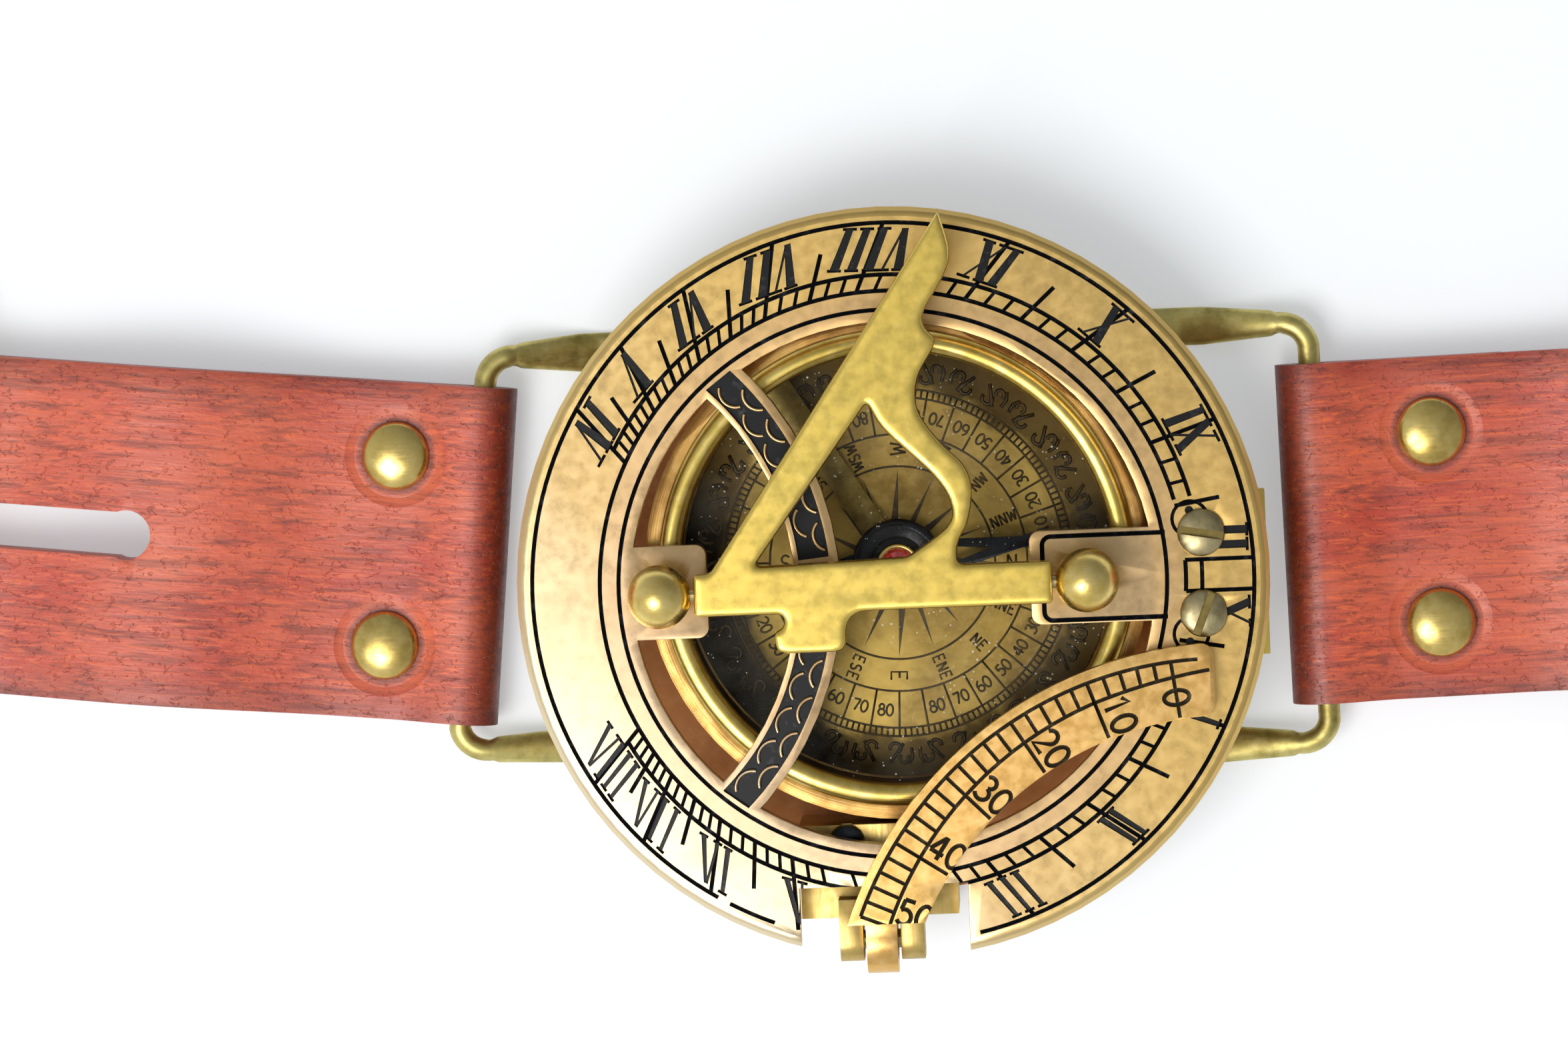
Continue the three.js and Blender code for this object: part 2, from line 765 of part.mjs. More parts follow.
// Places on the gnomon as shares of its span and height, from the heel
const leafEdgeShares = [
  [1.041, 0.893], [1.014, 0.83], [0.928, 0.737], [0.925, 0.695], [0.972, 0.662],
];
const supportEdgeShares = [
  [0.953, 0.63], [0.891, 0.558], [0.886, 0.473], [0.971, 0.386], [1.064, 0.32],
  [1.092, 0.255], [1.071, 0.171], [1.025, 0.108], [1.022, 0],
];
const windowEdgeShares = [
  [0.823, 0.082], [0.99, 0.162], [1.003, 0.226], [0.934, 0.302], [0.748, 0.424], [0.682, 0.5],
];
const windowHeelShare = [0.195, 0.071];
const styleFootShare = [0, 0.041];

function gnomonPoint([across, up]) {
  return new THREE.Vector2(gnomonHeelX + across * gnomonSpan, up * gnomonHeight);
}

function gnomonPlate() {
  const outline = new THREE.Shape();
  const foot = gnomonPoint(styleFootShare);
  const tip = gnomonPoint([1, 1]);
  outline.moveTo(gnomonHeelX, 0);
  outline.lineTo(foot.x, foot.y);
  outline.lineTo(tip.x, tip.y);
  outline.splineThru(leafEdgeShares.map(gnomonPoint));
  outline.splineThru(supportEdgeShares.map(gnomonPoint));
  outline.lineTo(tailEast + tailFillet, 0);
  outline.lineTo(tailEast + tailFillet, -gnomonBarRadius);
  outline.quadraticCurveTo(
    tailEast, -gnomonBarRadius, tailEast, -gnomonBarRadius - tailFillet,
  );
  outline.lineTo(tailEast, tailCorner - tailDepth);
  outline.quadraticCurveTo(tailEast, -tailDepth, tailEast - tailCorner, -tailDepth);
  outline.lineTo(tailWest + tailCorner, -tailDepth);
  outline.quadraticCurveTo(tailWest, -tailDepth, tailWest, tailCorner - tailDepth);
  outline.lineTo(tailWest, -gnomonBarRadius - tailNotchRadius * 2);
  outline.absarc(
    tailWest, -gnomonBarRadius - tailNotchRadius, tailNotchRadius, -Math.PI / 2, Math.PI / 2, false,
  );
  outline.lineTo(tailWest - tailNotchRadius * 2, 0);
  const window = new THREE.Path();
  const heel = gnomonPoint(windowHeelShare);
  const [windowFoot, ...edge] = windowEdgeShares.map(gnomonPoint);
  window.moveTo(heel.x, heel.y);
  window.lineTo(windowFoot.x, windowFoot.y);
  window.splineThru(edge);
  outline.holes.push(window);
  return slab(outline, -gnomonThickness / 2, gnomonThickness / 2, cornerSteps);
}

// The gnomon lies in its own frame, its pivot axis along X
function gnomon() {
  const [west, east] = gnomonBarEnds();
  const bar = barAlongX(gnomonBarRadius, west, east, 0, 0);
  const westBore = barAlongX(
    pivotPinRadius + fit, west - overrun, west + pivotPinDepth + fit, 0, 0,
  );
  const eastBore = barAlongX(
    pivotPinRadius + fit, east - pivotPinDepth - fit, east + overrun, 0, 0,
  );
  return cut(join(gnomonPlate(), bar), westBore, eastBore);
}

function gnomonParts() {
  const group = new THREE.Group();
  group.position.z = gnomonAxisZ;
  group.add(
    part('gnomon', gnomon(), metal('gnomon')),
    part('gnomon_pin_west', gnomonPivotPin(1), metal('steel')),
    part('gnomon_pin_east', gnomonPivotPin(-1), metal('steel')),
  );
  return group;
}

function postParts() {
  const west = part('ball_post_west', ballPost(1), metal('gnomon'));
  const east = part('ball_post_east', ballPost(-1), metal('gnomon'));
  west.position.x = westPostX;
  east.position.x = eastPostX;
  return [west, east];
}

// Latitude arc, its block and pin

function arcPoint(radius, angle) {
  return new THREE.Vector2(
    arcCentreX + radius * Math.cos(radians(angle)),
    arcCentreY + radius * Math.sin(radians(angle)),
  );
}

function arcBand() {
  const outline = new THREE.Shape();
  const cornerTurnOuter = THREE.MathUtils.radToDeg(arcEndCorner / arcOuterRadius);
  const cornerTurnInner = THREE.MathUtils.radToDeg(arcEndCorner / arcInnerRadius);
  const outerCorner = arcPoint(arcOuterRadius, arcFarAngle);
  const outerSide = arcPoint(arcOuterRadius - arcEndCorner, arcFarAngle);
  const innerSide = arcPoint(arcInnerRadius + arcEndCorner, arcFarAngle);
  const innerCorner = arcPoint(arcInnerRadius, arcFarAngle);
  const innerStart = arcPoint(arcInnerRadius, arcFarAngle + cornerTurnInner);
  outline.absarc(
    arcCentreX, arcCentreY, arcOuterRadius, Math.PI, radians(arcFarAngle + cornerTurnOuter), true,
  );
  outline.quadraticCurveTo(outerCorner.x, outerCorner.y, outerSide.x, outerSide.y);
  outline.lineTo(innerSide.x, innerSide.y);
  outline.quadraticCurveTo(innerCorner.x, innerCorner.y, innerStart.x, innerStart.y);
  outline.absarc(
    arcCentreX, arcCentreY, arcInnerRadius, radians(arcFarAngle + cornerTurnInner), Math.PI, false,
  );
  const nearEnd = arcPivotY + arcNearOverlap;
  return slab(outline, arcBottom, arcBottom + arcThickness, mediumSteps).trimByPlane([0, 1, 0], nearEnd);
}

function latitudeArc() {
  const west = lugX - lugWidth / 2;
  const east = lugX + lugWidth / 2;
  const lug = barAlongX(lugRadius, west, east, arcPivotY, arcPivotZ, mediumSteps);
  const web = box(west, east, arcPivotY, arcPivotY + lugRadius, arcPivotZ, arcBottom + arcThickness / 2);
  const pinHole = barAlongX(arcPinRadius + fit, west - overrun, east + overrun, arcPivotY, arcPivotZ);
  return cut(join(arcBand(), lug, web), pinHole);
}

function blockScrewY() {
  return blockInnerY() - blockScrewInset;
}

// The block's inner face clears the bowl
function blockInnerY() {
  return -bowlRadius - fit - ringCentreY;
}

// An ear reaches from the block to the pivot, and its end is round about the pivot
function ear(west, east) {
  const round = barAlongX(earRadius, west, east, arcPivotY, arcPivotZ, mediumSteps);
  const arm = box(
    west, east, arcPivotY, -blockOuterRadius + earRadius, arcPivotZ - earRoot, arcPivotZ + earRadius,
  );
  const lower = box(
    west, east, arcPivotY - earRadius, arcPivotY, arcPivotZ - earRoot, arcPivotZ,
  );
  return join(round, arm, lower);
}

function arcBlock() {
  const westGap = lugX - lugWidth / 2 - runningFit;
  const eastGap = lugX + lugWidth / 2 + runningFit;
  const screwY = blockScrewY();
  const body = box(
    blockWest, blockEast, -blockOuterRadius, blockInnerY(), baseThickness, blockTop,
  );
  const clevisSlot = box(
    westGap, eastGap, arcPivotY - earRadius - overrun, arcPivotY + lugRadius + runningFit,
    baseThickness - overrun, arcPivotZ + earRadius + overrun,
  );
  const pinHole = barAlongX(
    arcPinRadius + fit, blockWest, blockEast, arcPivotY, arcPivotZ,
  );
  const screwBore = disc(blockScrewRadius + fit, 0, blockTop + overrun, smallSteps);
  const headBore = disc(
    blockScrewHeadRadius + fit, blockTop - blockScrewHeadHeight - fit, blockTop + overrun, smallSteps,
  );
  return cut(
    join(body, ear(westGap - earWidth, westGap), ear(eastGap, eastGap + earWidth)),
    clevisSlot, pinHole, join(screwBore, headBore).translate([blockScrewX, screwY, 0]),
  );
}

function blockScrew() {
  const seat = blockTop - blockScrewHeadHeight - fit;
  const top = seat + blockScrewHeadHeight;
  const shape = turned([
    [0, fit], [blockScrewRadius, fit], [blockScrewRadius, seat],
    [blockScrewHeadRadius, seat], [blockScrewHeadRadius, top], [0, top],
  ], smallSteps);
  const slot = box(
    -blockScrewHeadRadius - overrun, blockScrewHeadRadius + overrun,
    -blockScrewSlotWidth / 2, blockScrewSlotWidth / 2, top - slotDepth, top + overrun,
  );
  return cut(shape, slot);
}

function arcPin() {
  const half = lugWidth / 2 + runningFit + earWidth;
  return barAlongX(arcPinRadius, lugX - half, lugX + half, arcPivotY, arcPivotZ);
}

// Everything that lines up with the hour ring, about the ring's own centre
function dialParts() {
  const group = new THREE.Group();
  group.position.set(ringCentreX, ringCentreY, 0);
  const screw = part('block_screw', blockScrew(), metal('dark'));
  screw.position.set(blockScrewX, blockScrewY(), 0);
  group.add(
    part('hour_ring', hourRing(), metal('ring')),
    part('hinge_upper_leaf', upperLeaf(), metal('gnomon')),
    part('hinge_lower_leaf', lowerLeaf(), metal('gnomon')),
    part('hinge_pin', hingePin(), metal('steel')),
    ...hingeScrews(),
    ...postParts(),
    gnomonParts(),
    part('latitude_arc', latitudeArc(), metal('arc')),
    part('arc_block', arcBlock(), metal('gnomon')),
    part('arc_pin', arcPin(), metal('steel')),
    screw,
  );
  return group;
}

// Wire loops

function wirePath(reach, slant, halfWidth) {
  const lean = Math.tan(radians(slant));
  const barX = (y) => reach - lean * y;
  const cornerOf = (side) => new THREE.Vector3(
    barX(side * halfWidth), side * halfWidth, loopBarHeight,
  );
  const path = new THREE.CurvePath();
  const north = cornerOf(1);
  const south = cornerOf(-1);
  const endOf = (corner) => {
    const foot = new THREE.Vector3(bladeOuterX - bladeLap, corner.y, wireRadius);
    return foot.lerp(corner, (bladeTaperX - bladeLap - foot.x) / (corner.x - foot.x));
  };
  const start = endOf(north);
  const end = endOf(south);
  const beforeNorth = north.clone().lerp(start, loopCorner / north.distanceTo(start));
  const afterNorth = north.clone().lerp(south, loopCorner / north.distanceTo(south));
  const beforeSouth = south.clone().lerp(north, loopCorner / north.distanceTo(south));
  const afterSouth = south.clone().lerp(end, loopCorner / south.distanceTo(end));
  path.add(new THREE.LineCurve3(start, beforeNorth));
  path.add(new THREE.QuadraticBezierCurve3(beforeNorth, north, afterNorth));
  path.add(new THREE.LineCurve3(afterNorth, beforeSouth));
  path.add(new THREE.QuadraticBezierCurve3(beforeSouth, south, afterSouth));
  path.add(new THREE.LineCurve3(afterSouth, end));
  return path;
}

// Each blade is flat under the base disc and narrows beyond it into the round wire
function wireLoop(reach, slant, halfWidth) {
  const section = new THREE.Shape();
  section.absarc(0, 0, wireRadius, 0, Math.PI * 2, false);
  const path = wirePath(reach, slant, halfWidth);
  const tube = solid(new THREE.ExtrudeGeometry(section, {
    steps: mediumSteps, curveSegments: cornerSteps, bevelEnabled: false, extrudePath: path,
  }));
  const blades = [path.getPointAt(0), path.getPointAt(1)].map((end) => {
    const south = end.y - bladeWidth / 2;
    const north = end.y + bladeWidth / 2;
    const root = box(bladeOuterX - bladeLap, bladeOuterX, south, north, 0, bladeThickness);
    const neck = barAlongX(wireRadius, end.x, end.x + bladeLap / 2, end.y, end.z);
    return join(
      box(bladeInnerX, bladeOuterX, south, north, 0, bladeThickness),
      wasm.Manifold.hull([root, neck]),
    );
  });
  return join(tube, ...blades);
}

function loopParts() {
  const group = new THREE.Group();
  const east = wireLoop(eastLoopReach, eastLoopSlant, eastLoopHalfWidth);
  const west = wireLoop(westLoopReach, -westLoopSlant, westLoopHalfWidth).rotate([0, 0, 180]);
  group.add(
    part('wire_loop_east', east.translate([0, eastLoopCentreY, 0]), metal('wire')),
    part('wire_loop_west', west.translate([0, westLoopCentreY, 0]), metal('wire')),
  );
  return group;
}

// Straps. Each lies in its own frame: its wire bar is the Y axis, and it runs out along X.

const eyeRadius = wireRadius + fit + leather;

function sideOutline(length, steps, top, bottom) {
  const shape = new THREE.Shape();
  for (let step = 0; step <= steps; step += 1) {
    const x = (length * step) / steps;
    if (step === 0) {
      shape.moveTo(x, bottom(x));
    } else {
      shape.lineTo(x, bottom(x));
    }
  }
  for (let step = steps; step >= 0; step -= 1) {
    const x = (length * step) / steps;
    shape.lineTo(x, top(x));
  }
  return shape;
}

// A side outline stands in the XZ plane and is drawn out across the strap's width
function acrossStrap(shape) {
  const geometry = new THREE.ExtrudeGeometry(shape, { depth: strapWidth, bevelEnabled: false });
  geometry.rotateX(Math.PI / 2);
  geometry.translate(0, strapWidth / 2, 0);
  return solid(geometry);
}

function strapEye(x, z) {
  return barAlongY(eyeRadius, -strapWidth / 2, strapWidth / 2, x, z, mediumSteps);
}

function strapBore(x, z) {
  return barAlongY(wireRadius + fit, -strapWidth, strapWidth, x, z, smallSteps);
}

function rivetHoles(x) {
  return [rivetHalfPitch, -rivetHalfPitch].map((y) => disc(
    rivetShankRadius + fit, -leather - eyeRadius, leather + eyeRadius, smallSteps,
  ).translate([x, y, 0]));
}

// Flat to its rivets, then a low arch down to the buckle's bar
function westArch(x) {
  const start = westRivetX + rivetCapRadius + fit;
  const end = westStrapLength - eyeRadius;
  if (x <= start || x >= end) {
    return 0;
  }
  return (westStrapRise / 2) * (1 - Math.cos((2 * Math.PI * (x - start)) / (end - start)));
}

function westStrap() {
  const band = acrossStrap(sideOutline(
    westStrapLength, strapSteps, (x) => westArch(x) + leather, (x) => westArch(x) - leather,
  ));
  const slotStart = westStrapLength - prongSlotLength;
  const reach = westStrapLength + eyeRadius + overrun;
  const tall = eyeRadius + westStrapRise + overrun;
  const slot = box(slotStart, reach, -prongSlotWidth / 2, prongSlotWidth / 2, -tall, tall);
  const punch = disc(prongSlotEndRadius, -tall, tall, smallSteps).translate([slotStart, 0, 0]);
  const body = join(band, strapEye(0, 0), strapEye(westStrapLength, 0));
  return cut(
    body, strapBore(0, 0), strapBore(westStrapLength, 0), slot, punch, ...rivetHoles(westRivetX),
  );
}

// Height of the single layer's underside: flat, up to a crest, then down to the resting surface
function eastArch(x) {
  const floor = -loopBarHeight;
  if (x <= eastFlapLength) {
    return 0;
  }
  if (x <= eastCrestX) {
    const way = (x - eastFlapLength) / (eastCrestX - eastFlapLength);
    return (eastStrapRise / 2) * (1 - Math.cos(Math.PI * way));
  }
  if (x <= eastLandX) {
    const way = (x - eastCrestX) / (eastLandX - eastCrestX);
    return floor + ((eastStrapRise - floor) / 2) * (1 + Math.cos(Math.PI * way));
  }
  return floor;
}

// The strap's plan: straight sides and a rounded tip
function eastStrapPlan() {
  const half = strapWidth / 2;
  const plan = new THREE.Shape();
  plan.moveTo(-eyeRadius - overrun, -half);
  plan.lineTo(eastStrapLength - strapTipRadius, -half);
  plan.quadraticCurveTo(eastStrapLength, -half, eastStrapLength, 0);
  plan.quadraticCurveTo(eastStrapLength, half, eastStrapLength - strapTipRadius, half);
  plan.lineTo(-eyeRadius - overrun, half);
  return plan;
}

function eastStrap() {
  const upper = acrossStrap(sideOutline(
    eastStrapLength, strapSteps, (x) => eastArch(x) + leather, (x) => eastArch(x),
  ));
  const lower = acrossStrap(sideOutline(eastFlapLength, 2, () => leather / 2, () => -leather));
  const tall = eyeRadius + eastStrapRise + overrun;
  const plan = slab(eastStrapPlan(), -tall, tall, cornerSteps);
  const holes = [];
  for (let index = 0; index < strapHoleCount; index += 1) {
    const x = eastStrapLength - strapHoleTipGap - index * strapHolePitch;
    holes.push(disc(strapHoleRadius, -tall, tall, smallSteps).translate([x, 0, 0]));
  }
  const body = join(upper, lower, strapEye(0, 0)).intersect(plan);
  return cut(body, strapBore(0, 0), ...rivetHoles(eastRivetX), ...holes);
}

// A rivet is a domed cap and a back piece, and their stems meet inside the leather
function rivetCap() {
  const seat = leather;
  const profile = [[0, fit], [rivetShankRadius, fit], [rivetShankRadius, seat], [rivetCapRadius, seat]];
  const rim = rivetCapHeight / 3;
  const domeSteps = 3;
  for (let step = 0; step <= domeSteps; step += 1) {
    const angle = (Math.PI / 2) * (step / domeSteps);
    profile.push([
      rivetCapRadius * Math.cos(angle), seat + rim + (rivetCapHeight - rim) * Math.sin(angle),
    ]);
  }
  profile[profile.length - 1][0] = 0;
  return turned(profile, rivetSteps);
}

function rivetBack() {
  const seat = -leather;
  const bottom = seat - rivetBackHeight;
  return turned([
    [0, bottom], [rivetBackRadius - rivetSink, bottom], [rivetBackRadius, bottom + rivetSink],
    [rivetBackRadius, seat], [rivetShankRadius, seat], [rivetShankRadius, 0], [0, 0],
  ], smallSteps);
}

function rivets(side, x) {
  const meshes = [];
  [['north', rivetHalfPitch], ['south', -rivetHalfPitch]].forEach(([end, y]) => {
    const cap = part(`rivet_cap_${side}_${end}`, rivetCap(), metal('arc'));
    const back = part(`rivet_back_${side}_${end}`, rivetBack(), metal('arc'));
    cap.position.set(x, y, 0);
    back.position.set(x, y, 0);
    meshes.push(cap, back);
  });
  return meshes;
}

// Buckle

function buckleFrame() {
  const half = strapWidth / 2 + buckleArmGap + buckleArmWidth;
  const inner = half - buckleArmWidth;
  const back = -buckleBarRadius - buckleEyeWall;
  const low = -buckleThickness / 2;
  const high = buckleThickness / 2;
  const outline = slab(
    roundedBox(back - buckleArmWidth, buckleReach, -half, half, buckleArmWidth), low, high, cornerSteps,
  ).trimByPlane([1, 0, 0], back);
  const window = box(
    back - overrun, buckleReach - buckleArmWidth, -inner, inner, low - overrun, high + overrun,
  );
  const eyes = [-half, inner].map((from) => barAlongY(
    buckleBarRadius + fit + buckleEyeWall, from, from + buckleArmWidth, 0, 0,
  ));
  const bore = barAlongY(buckleBarRadius + fit, -half - overrun, half + overrun, 0, 0);
  return cut(join(cut(outline, window), ...eyes), bore);
}

function buckleBar() {
  const half = strapWidth / 2 + buckleArmGap + buckleArmWidth;
  return barAlongY(buckleBarRadius, -half, half, 0, 0);
}

// The prong's eye turns on the bar and its rod rests on the frame's far side
function buckleProng() {
  const eye = barAlongY(
    buckleBarRadius + fit + prongRadius, -prongWidth / 2, prongWidth / 2, 0, 0,
  );
  const restHeight = buckleThickness / 2 + fit + prongRadius;
  const length = buckleReach + prongOverhang;
  const path = new THREE.CatmullRomCurve3([
    new THREE.Vector3(buckleBarRadius + fit + prongRadius / 2, 0, prongRadius / 2),
    new THREE.Vector3(length / 3, 0, restHeight),
    new THREE.Vector3(length, 0, restHeight),
  ]);
  const section = new THREE.Shape();
  section.absarc(0, 0, prongRadius, 0, Math.PI * 2, false);
  const rod = solid(new THREE.ExtrudeGeometry(section, {
    steps: 8, curveSegments: 4, bevelEnabled: false, extrudePath: path,
  }));
  const bore = barAlongY(buckleBarRadius + fit, -prongWidth, prongWidth, 0, 0);
  return cut(join(eye, rod), bore);
}

function buckleParts() {
  const group = new THREE.Group();
  group.position.x = westStrapLength;
  group.rotation.y = radians(buckleDroop);
  group.add(
    part('buckle_frame', buckleFrame(), metal('polished')),
    part('buckle_bar', buckleBar(), metal('steel')),
    part('buckle_prong', buckleProng(), metal('polished')),
  );
  return group;
}

function strapParts() {
  const west = new THREE.Group();
  west.position.set(-westLoopReach, westLoopCentreY, loopBarHeight);
  west.rotation.z = radians(180 - westLoopSlant);
  west.add(
    part('strap_west', westStrap(), leatherMaterial()),
    ...rivets('west', westRivetX),
    buckleParts(),
  );
  const east = new THREE.Group();
  east.position.set(eastLoopReach, eastLoopCentreY, loopBarHeight);
  east.rotation.z = radians(eastLoopSlant);
  east.add(
    part('strap_east', eastStrap(), leatherMaterial()),
    ...rivets('east', eastRivetX),
  );
  return [west, east];
}

const sundialCompass = new THREE.Group();
sundialCompass.add(caseParts(), needleParts(), dialParts(), loopParts(), ...strapParts());

export default sundialCompass;
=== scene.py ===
import math
import random

import bpy
from mathutils import Matrix, Vector


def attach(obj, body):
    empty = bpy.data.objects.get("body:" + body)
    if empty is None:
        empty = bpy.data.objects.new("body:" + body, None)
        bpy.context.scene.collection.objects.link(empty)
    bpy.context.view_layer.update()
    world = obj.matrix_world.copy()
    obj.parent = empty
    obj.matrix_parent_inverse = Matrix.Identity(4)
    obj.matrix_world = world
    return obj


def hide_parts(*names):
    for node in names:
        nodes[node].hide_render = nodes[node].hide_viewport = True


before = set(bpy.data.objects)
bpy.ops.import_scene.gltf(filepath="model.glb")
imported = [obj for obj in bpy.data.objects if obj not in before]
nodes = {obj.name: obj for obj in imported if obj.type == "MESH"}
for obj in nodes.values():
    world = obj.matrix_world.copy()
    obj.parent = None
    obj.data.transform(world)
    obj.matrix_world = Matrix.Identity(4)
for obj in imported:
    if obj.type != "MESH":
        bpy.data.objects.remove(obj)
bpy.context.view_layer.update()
mm = 0.001
scene = bpy.context.scene
scene.view_settings.view_transform = "Standard"
print("frame loaded:", len(nodes), "CAD nodes")


# Modelling helpers

def only(*pieces):
    for other in list(bpy.context.selected_objects):
        other.select_set(False)
    for piece in pieces:
        piece.select_set(True)
    bpy.context.view_layer.objects.active = pieces[0] if pieces else None


def editing(piece, *steps):
    # each step is a function called in edit mode with everything selected
    only(piece)
    bpy.ops.object.mode_set(mode="EDIT")
    for step in steps:
        bpy.ops.mesh.select_all(action="SELECT")
        step()
    bpy.ops.object.mode_set(mode="OBJECT")


def applied(piece, kind, **settings):
    only(piece)
    modifier = piece.modifiers.new(kind.title(), kind)
    for key, value in settings.items():
        setattr(modifier, key, value)
    bpy.ops.object.modifier_apply(modifier=modifier.name)
    return piece


def smoothed(piece, angle=35):
    only(piece)
    bpy.ops.object.shade_smooth_by_angle(angle=math.radians(angle))
    return piece


def bevelled(piece, width, segments=2, angle=38):
    applied(piece, "BEVEL", width=width * mm, segments=segments, limit_method="ANGLE",
            angle_limit=math.radians(angle), use_clamp_overlap=True)
    return smoothed(piece)


def cleaned(piece):
    editing(
        piece,
        lambda: bpy.ops.mesh.remove_doubles(threshold=0.002 * mm),
        lambda: bpy.ops.mesh.normals_make_consistent(inside=False),
    )
    return piece


def painted(piece, *materials):
    piece.data.materials.clear()
    for material in materials:
        piece.data.materials.append(material)
    return piece


def copyOf(node, name):
    # a merged copy of a CAD node, whose own mesh stays as it is
    piece = bpy.data.objects.new(name, nodes[node].data.copy())
    scene.collection.objects.link(piece)
    piece.data.materials.clear()
    only(piece)
    if piece.data.has_custom_normals:
        bpy.ops.mesh.customdata_custom_splitnormals_clear()
    editing(
        piece,
        lambda: bpy.ops.mesh.remove_doubles(threshold=0.002 * mm),
        lambda: bpy.ops.mesh.dissolve_limited(angle_limit=math.radians(0.4)),
    )
    return piece


def chain(name, points):
    # a run of edges, drawn by extruding one corner after another
    only()
    bpy.ops.mesh.primitive_plane_add(size=mm, location=(0, 0, 0))
    piece = bpy.context.active_object
    piece.name = name
    bpy.ops.object.mode_set(mode="EDIT")
    bpy.ops.mesh.merge(type="CENTER")
    bpy.ops.transform.translate(value=Vector(points[0]) * mm)
    for near, far in zip(points, points[1:]):
        bpy.ops.mesh.extrude_region_move(
            TRANSFORM_OT_translate={"value": (Vector(far) - Vector(near)) * mm})
    bpy.ops.object.mode_set(mode="OBJECT")
    return piece


def settled(piece):
    # puts the object at the origin, with its place in its mesh
    only(piece)
    bpy.ops.object.transform_apply(location=True, rotation=True, scale=True)
    return piece


def turned(name, profile, place=(0, 0, 0), steps=96, angle=35):
    # profile is (radius, height) pairs in mm, turned about a vertical axis through place
    piece = chain(name, [(radius, 0, height) for radius, height in profile])
    applied(piece, "SCREW", steps=steps, render_steps=steps, use_merge_vertices=True,
            merge_threshold=0.001 * mm)
    cleaned(piece)
    piece.location = Vector(place) * mm
    settled(piece)
    return smoothed(piece, angle)


def plate(name, outline, bottom, top):
    # a flat polygon in plan, drawn up between two heights
    only()
    bpy.ops.mesh.primitive_circle_add(vertices=len(outline), radius=mm, fill_type="NGON")
    piece = bpy.context.active_object
    piece.name = name
    for vertex, (x, y) in zip(piece.data.vertices, outline):
        vertex.co = (x * mm, y * mm, bottom * mm)
    editing(
        piece,
        lambda: bpy.ops.mesh.extrude_region_move(
            TRANSFORM_OT_translate={"value": (0, 0, (top - bottom) * mm)}),
        lambda: bpy.ops.mesh.normals_make_consistent(inside=False),
    )
    return piece


def tube(name, runs, width, sides=0, closed=False):
    # round bars through runs of points; sides 0 gives a four-sided groove cutter
    curve = bpy.data.curves.new(name, "CURVE")
    curve.dimensions = "3D"
    curve.bevel_depth = width / 2 * mm
    curve.bevel_resolution = sides
    curve.use_fill_caps = True
    for run in runs:
        spline = curve.splines.new("POLY")
        spline.points.add(len(run) - 1)
        for point, place in zip(spline.points, run):
            point.co = (place[0] * mm, place[1] * mm, place[2] * mm, 1)
        spline.use_cyclic_u = closed
    piece = bpy.data.objects.new(name, curve)
    scene.collection.objects.link(piece)
    only(piece)
    bpy.ops.object.convert(target="MESH")
    piece = bpy.context.view_layer.objects.active
    return cleaned(piece)


def joined(name, pieces):
    only(*pieces)
    if len(pieces) > 1:
        bpy.ops.object.join()
    piece = bpy.context.view_layer.objects.active
    piece.name = name
    return piece


def cutAway(piece, cutters, fill=None):
    # takes the cutters out of the piece; the new faces get the fill material
    box = bpy.data.collections.new("cutters")
    scene.collection.children.link(box)
    for cutter in cutters:
        cutter.data.materials.clear()
        if fill:
            cutter.data.materials.append(fill)
        for home in list(cutter.users_collection):
            home.objects.unlink(cutter)
        box.objects.link(cutter)
    applied(piece, "BOOLEAN", operation="DIFFERENCE", operand_type="COLLECTION", collection=box,
            solver="MANIFOLD", material_mode="TRANSFER")
    for cutter in cutters:
        bpy.data.objects.remove(cutter)
    bpy.data.collections.remove(box)
    return piece


def finished(piece, body, slot, *replaced):
    # hides the nodes that the piece stands for, and attaches the piece to the body that it moves with
    if replaced:
        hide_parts(*replaced)
    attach(piece, body)
    return piece


def arcPoints(centre, radius, start, end, count):
    # part of a circle in plan, from one angle in degrees to another
    points = []
    for step in range(count + 1):
        turn = math.radians(start + (end - start) * step / count)
        points.append((centre[0] + radius * math.cos(turn), centre[1] + radius * math.sin(turn)))
    return points


def eased(share):
    # from 0 to 1 with a soft start and a soft end
    return share * share * (3 - 2 * share)


def raised(points, height):
    return [(x, y, height) for x, y in points]


# Shaders

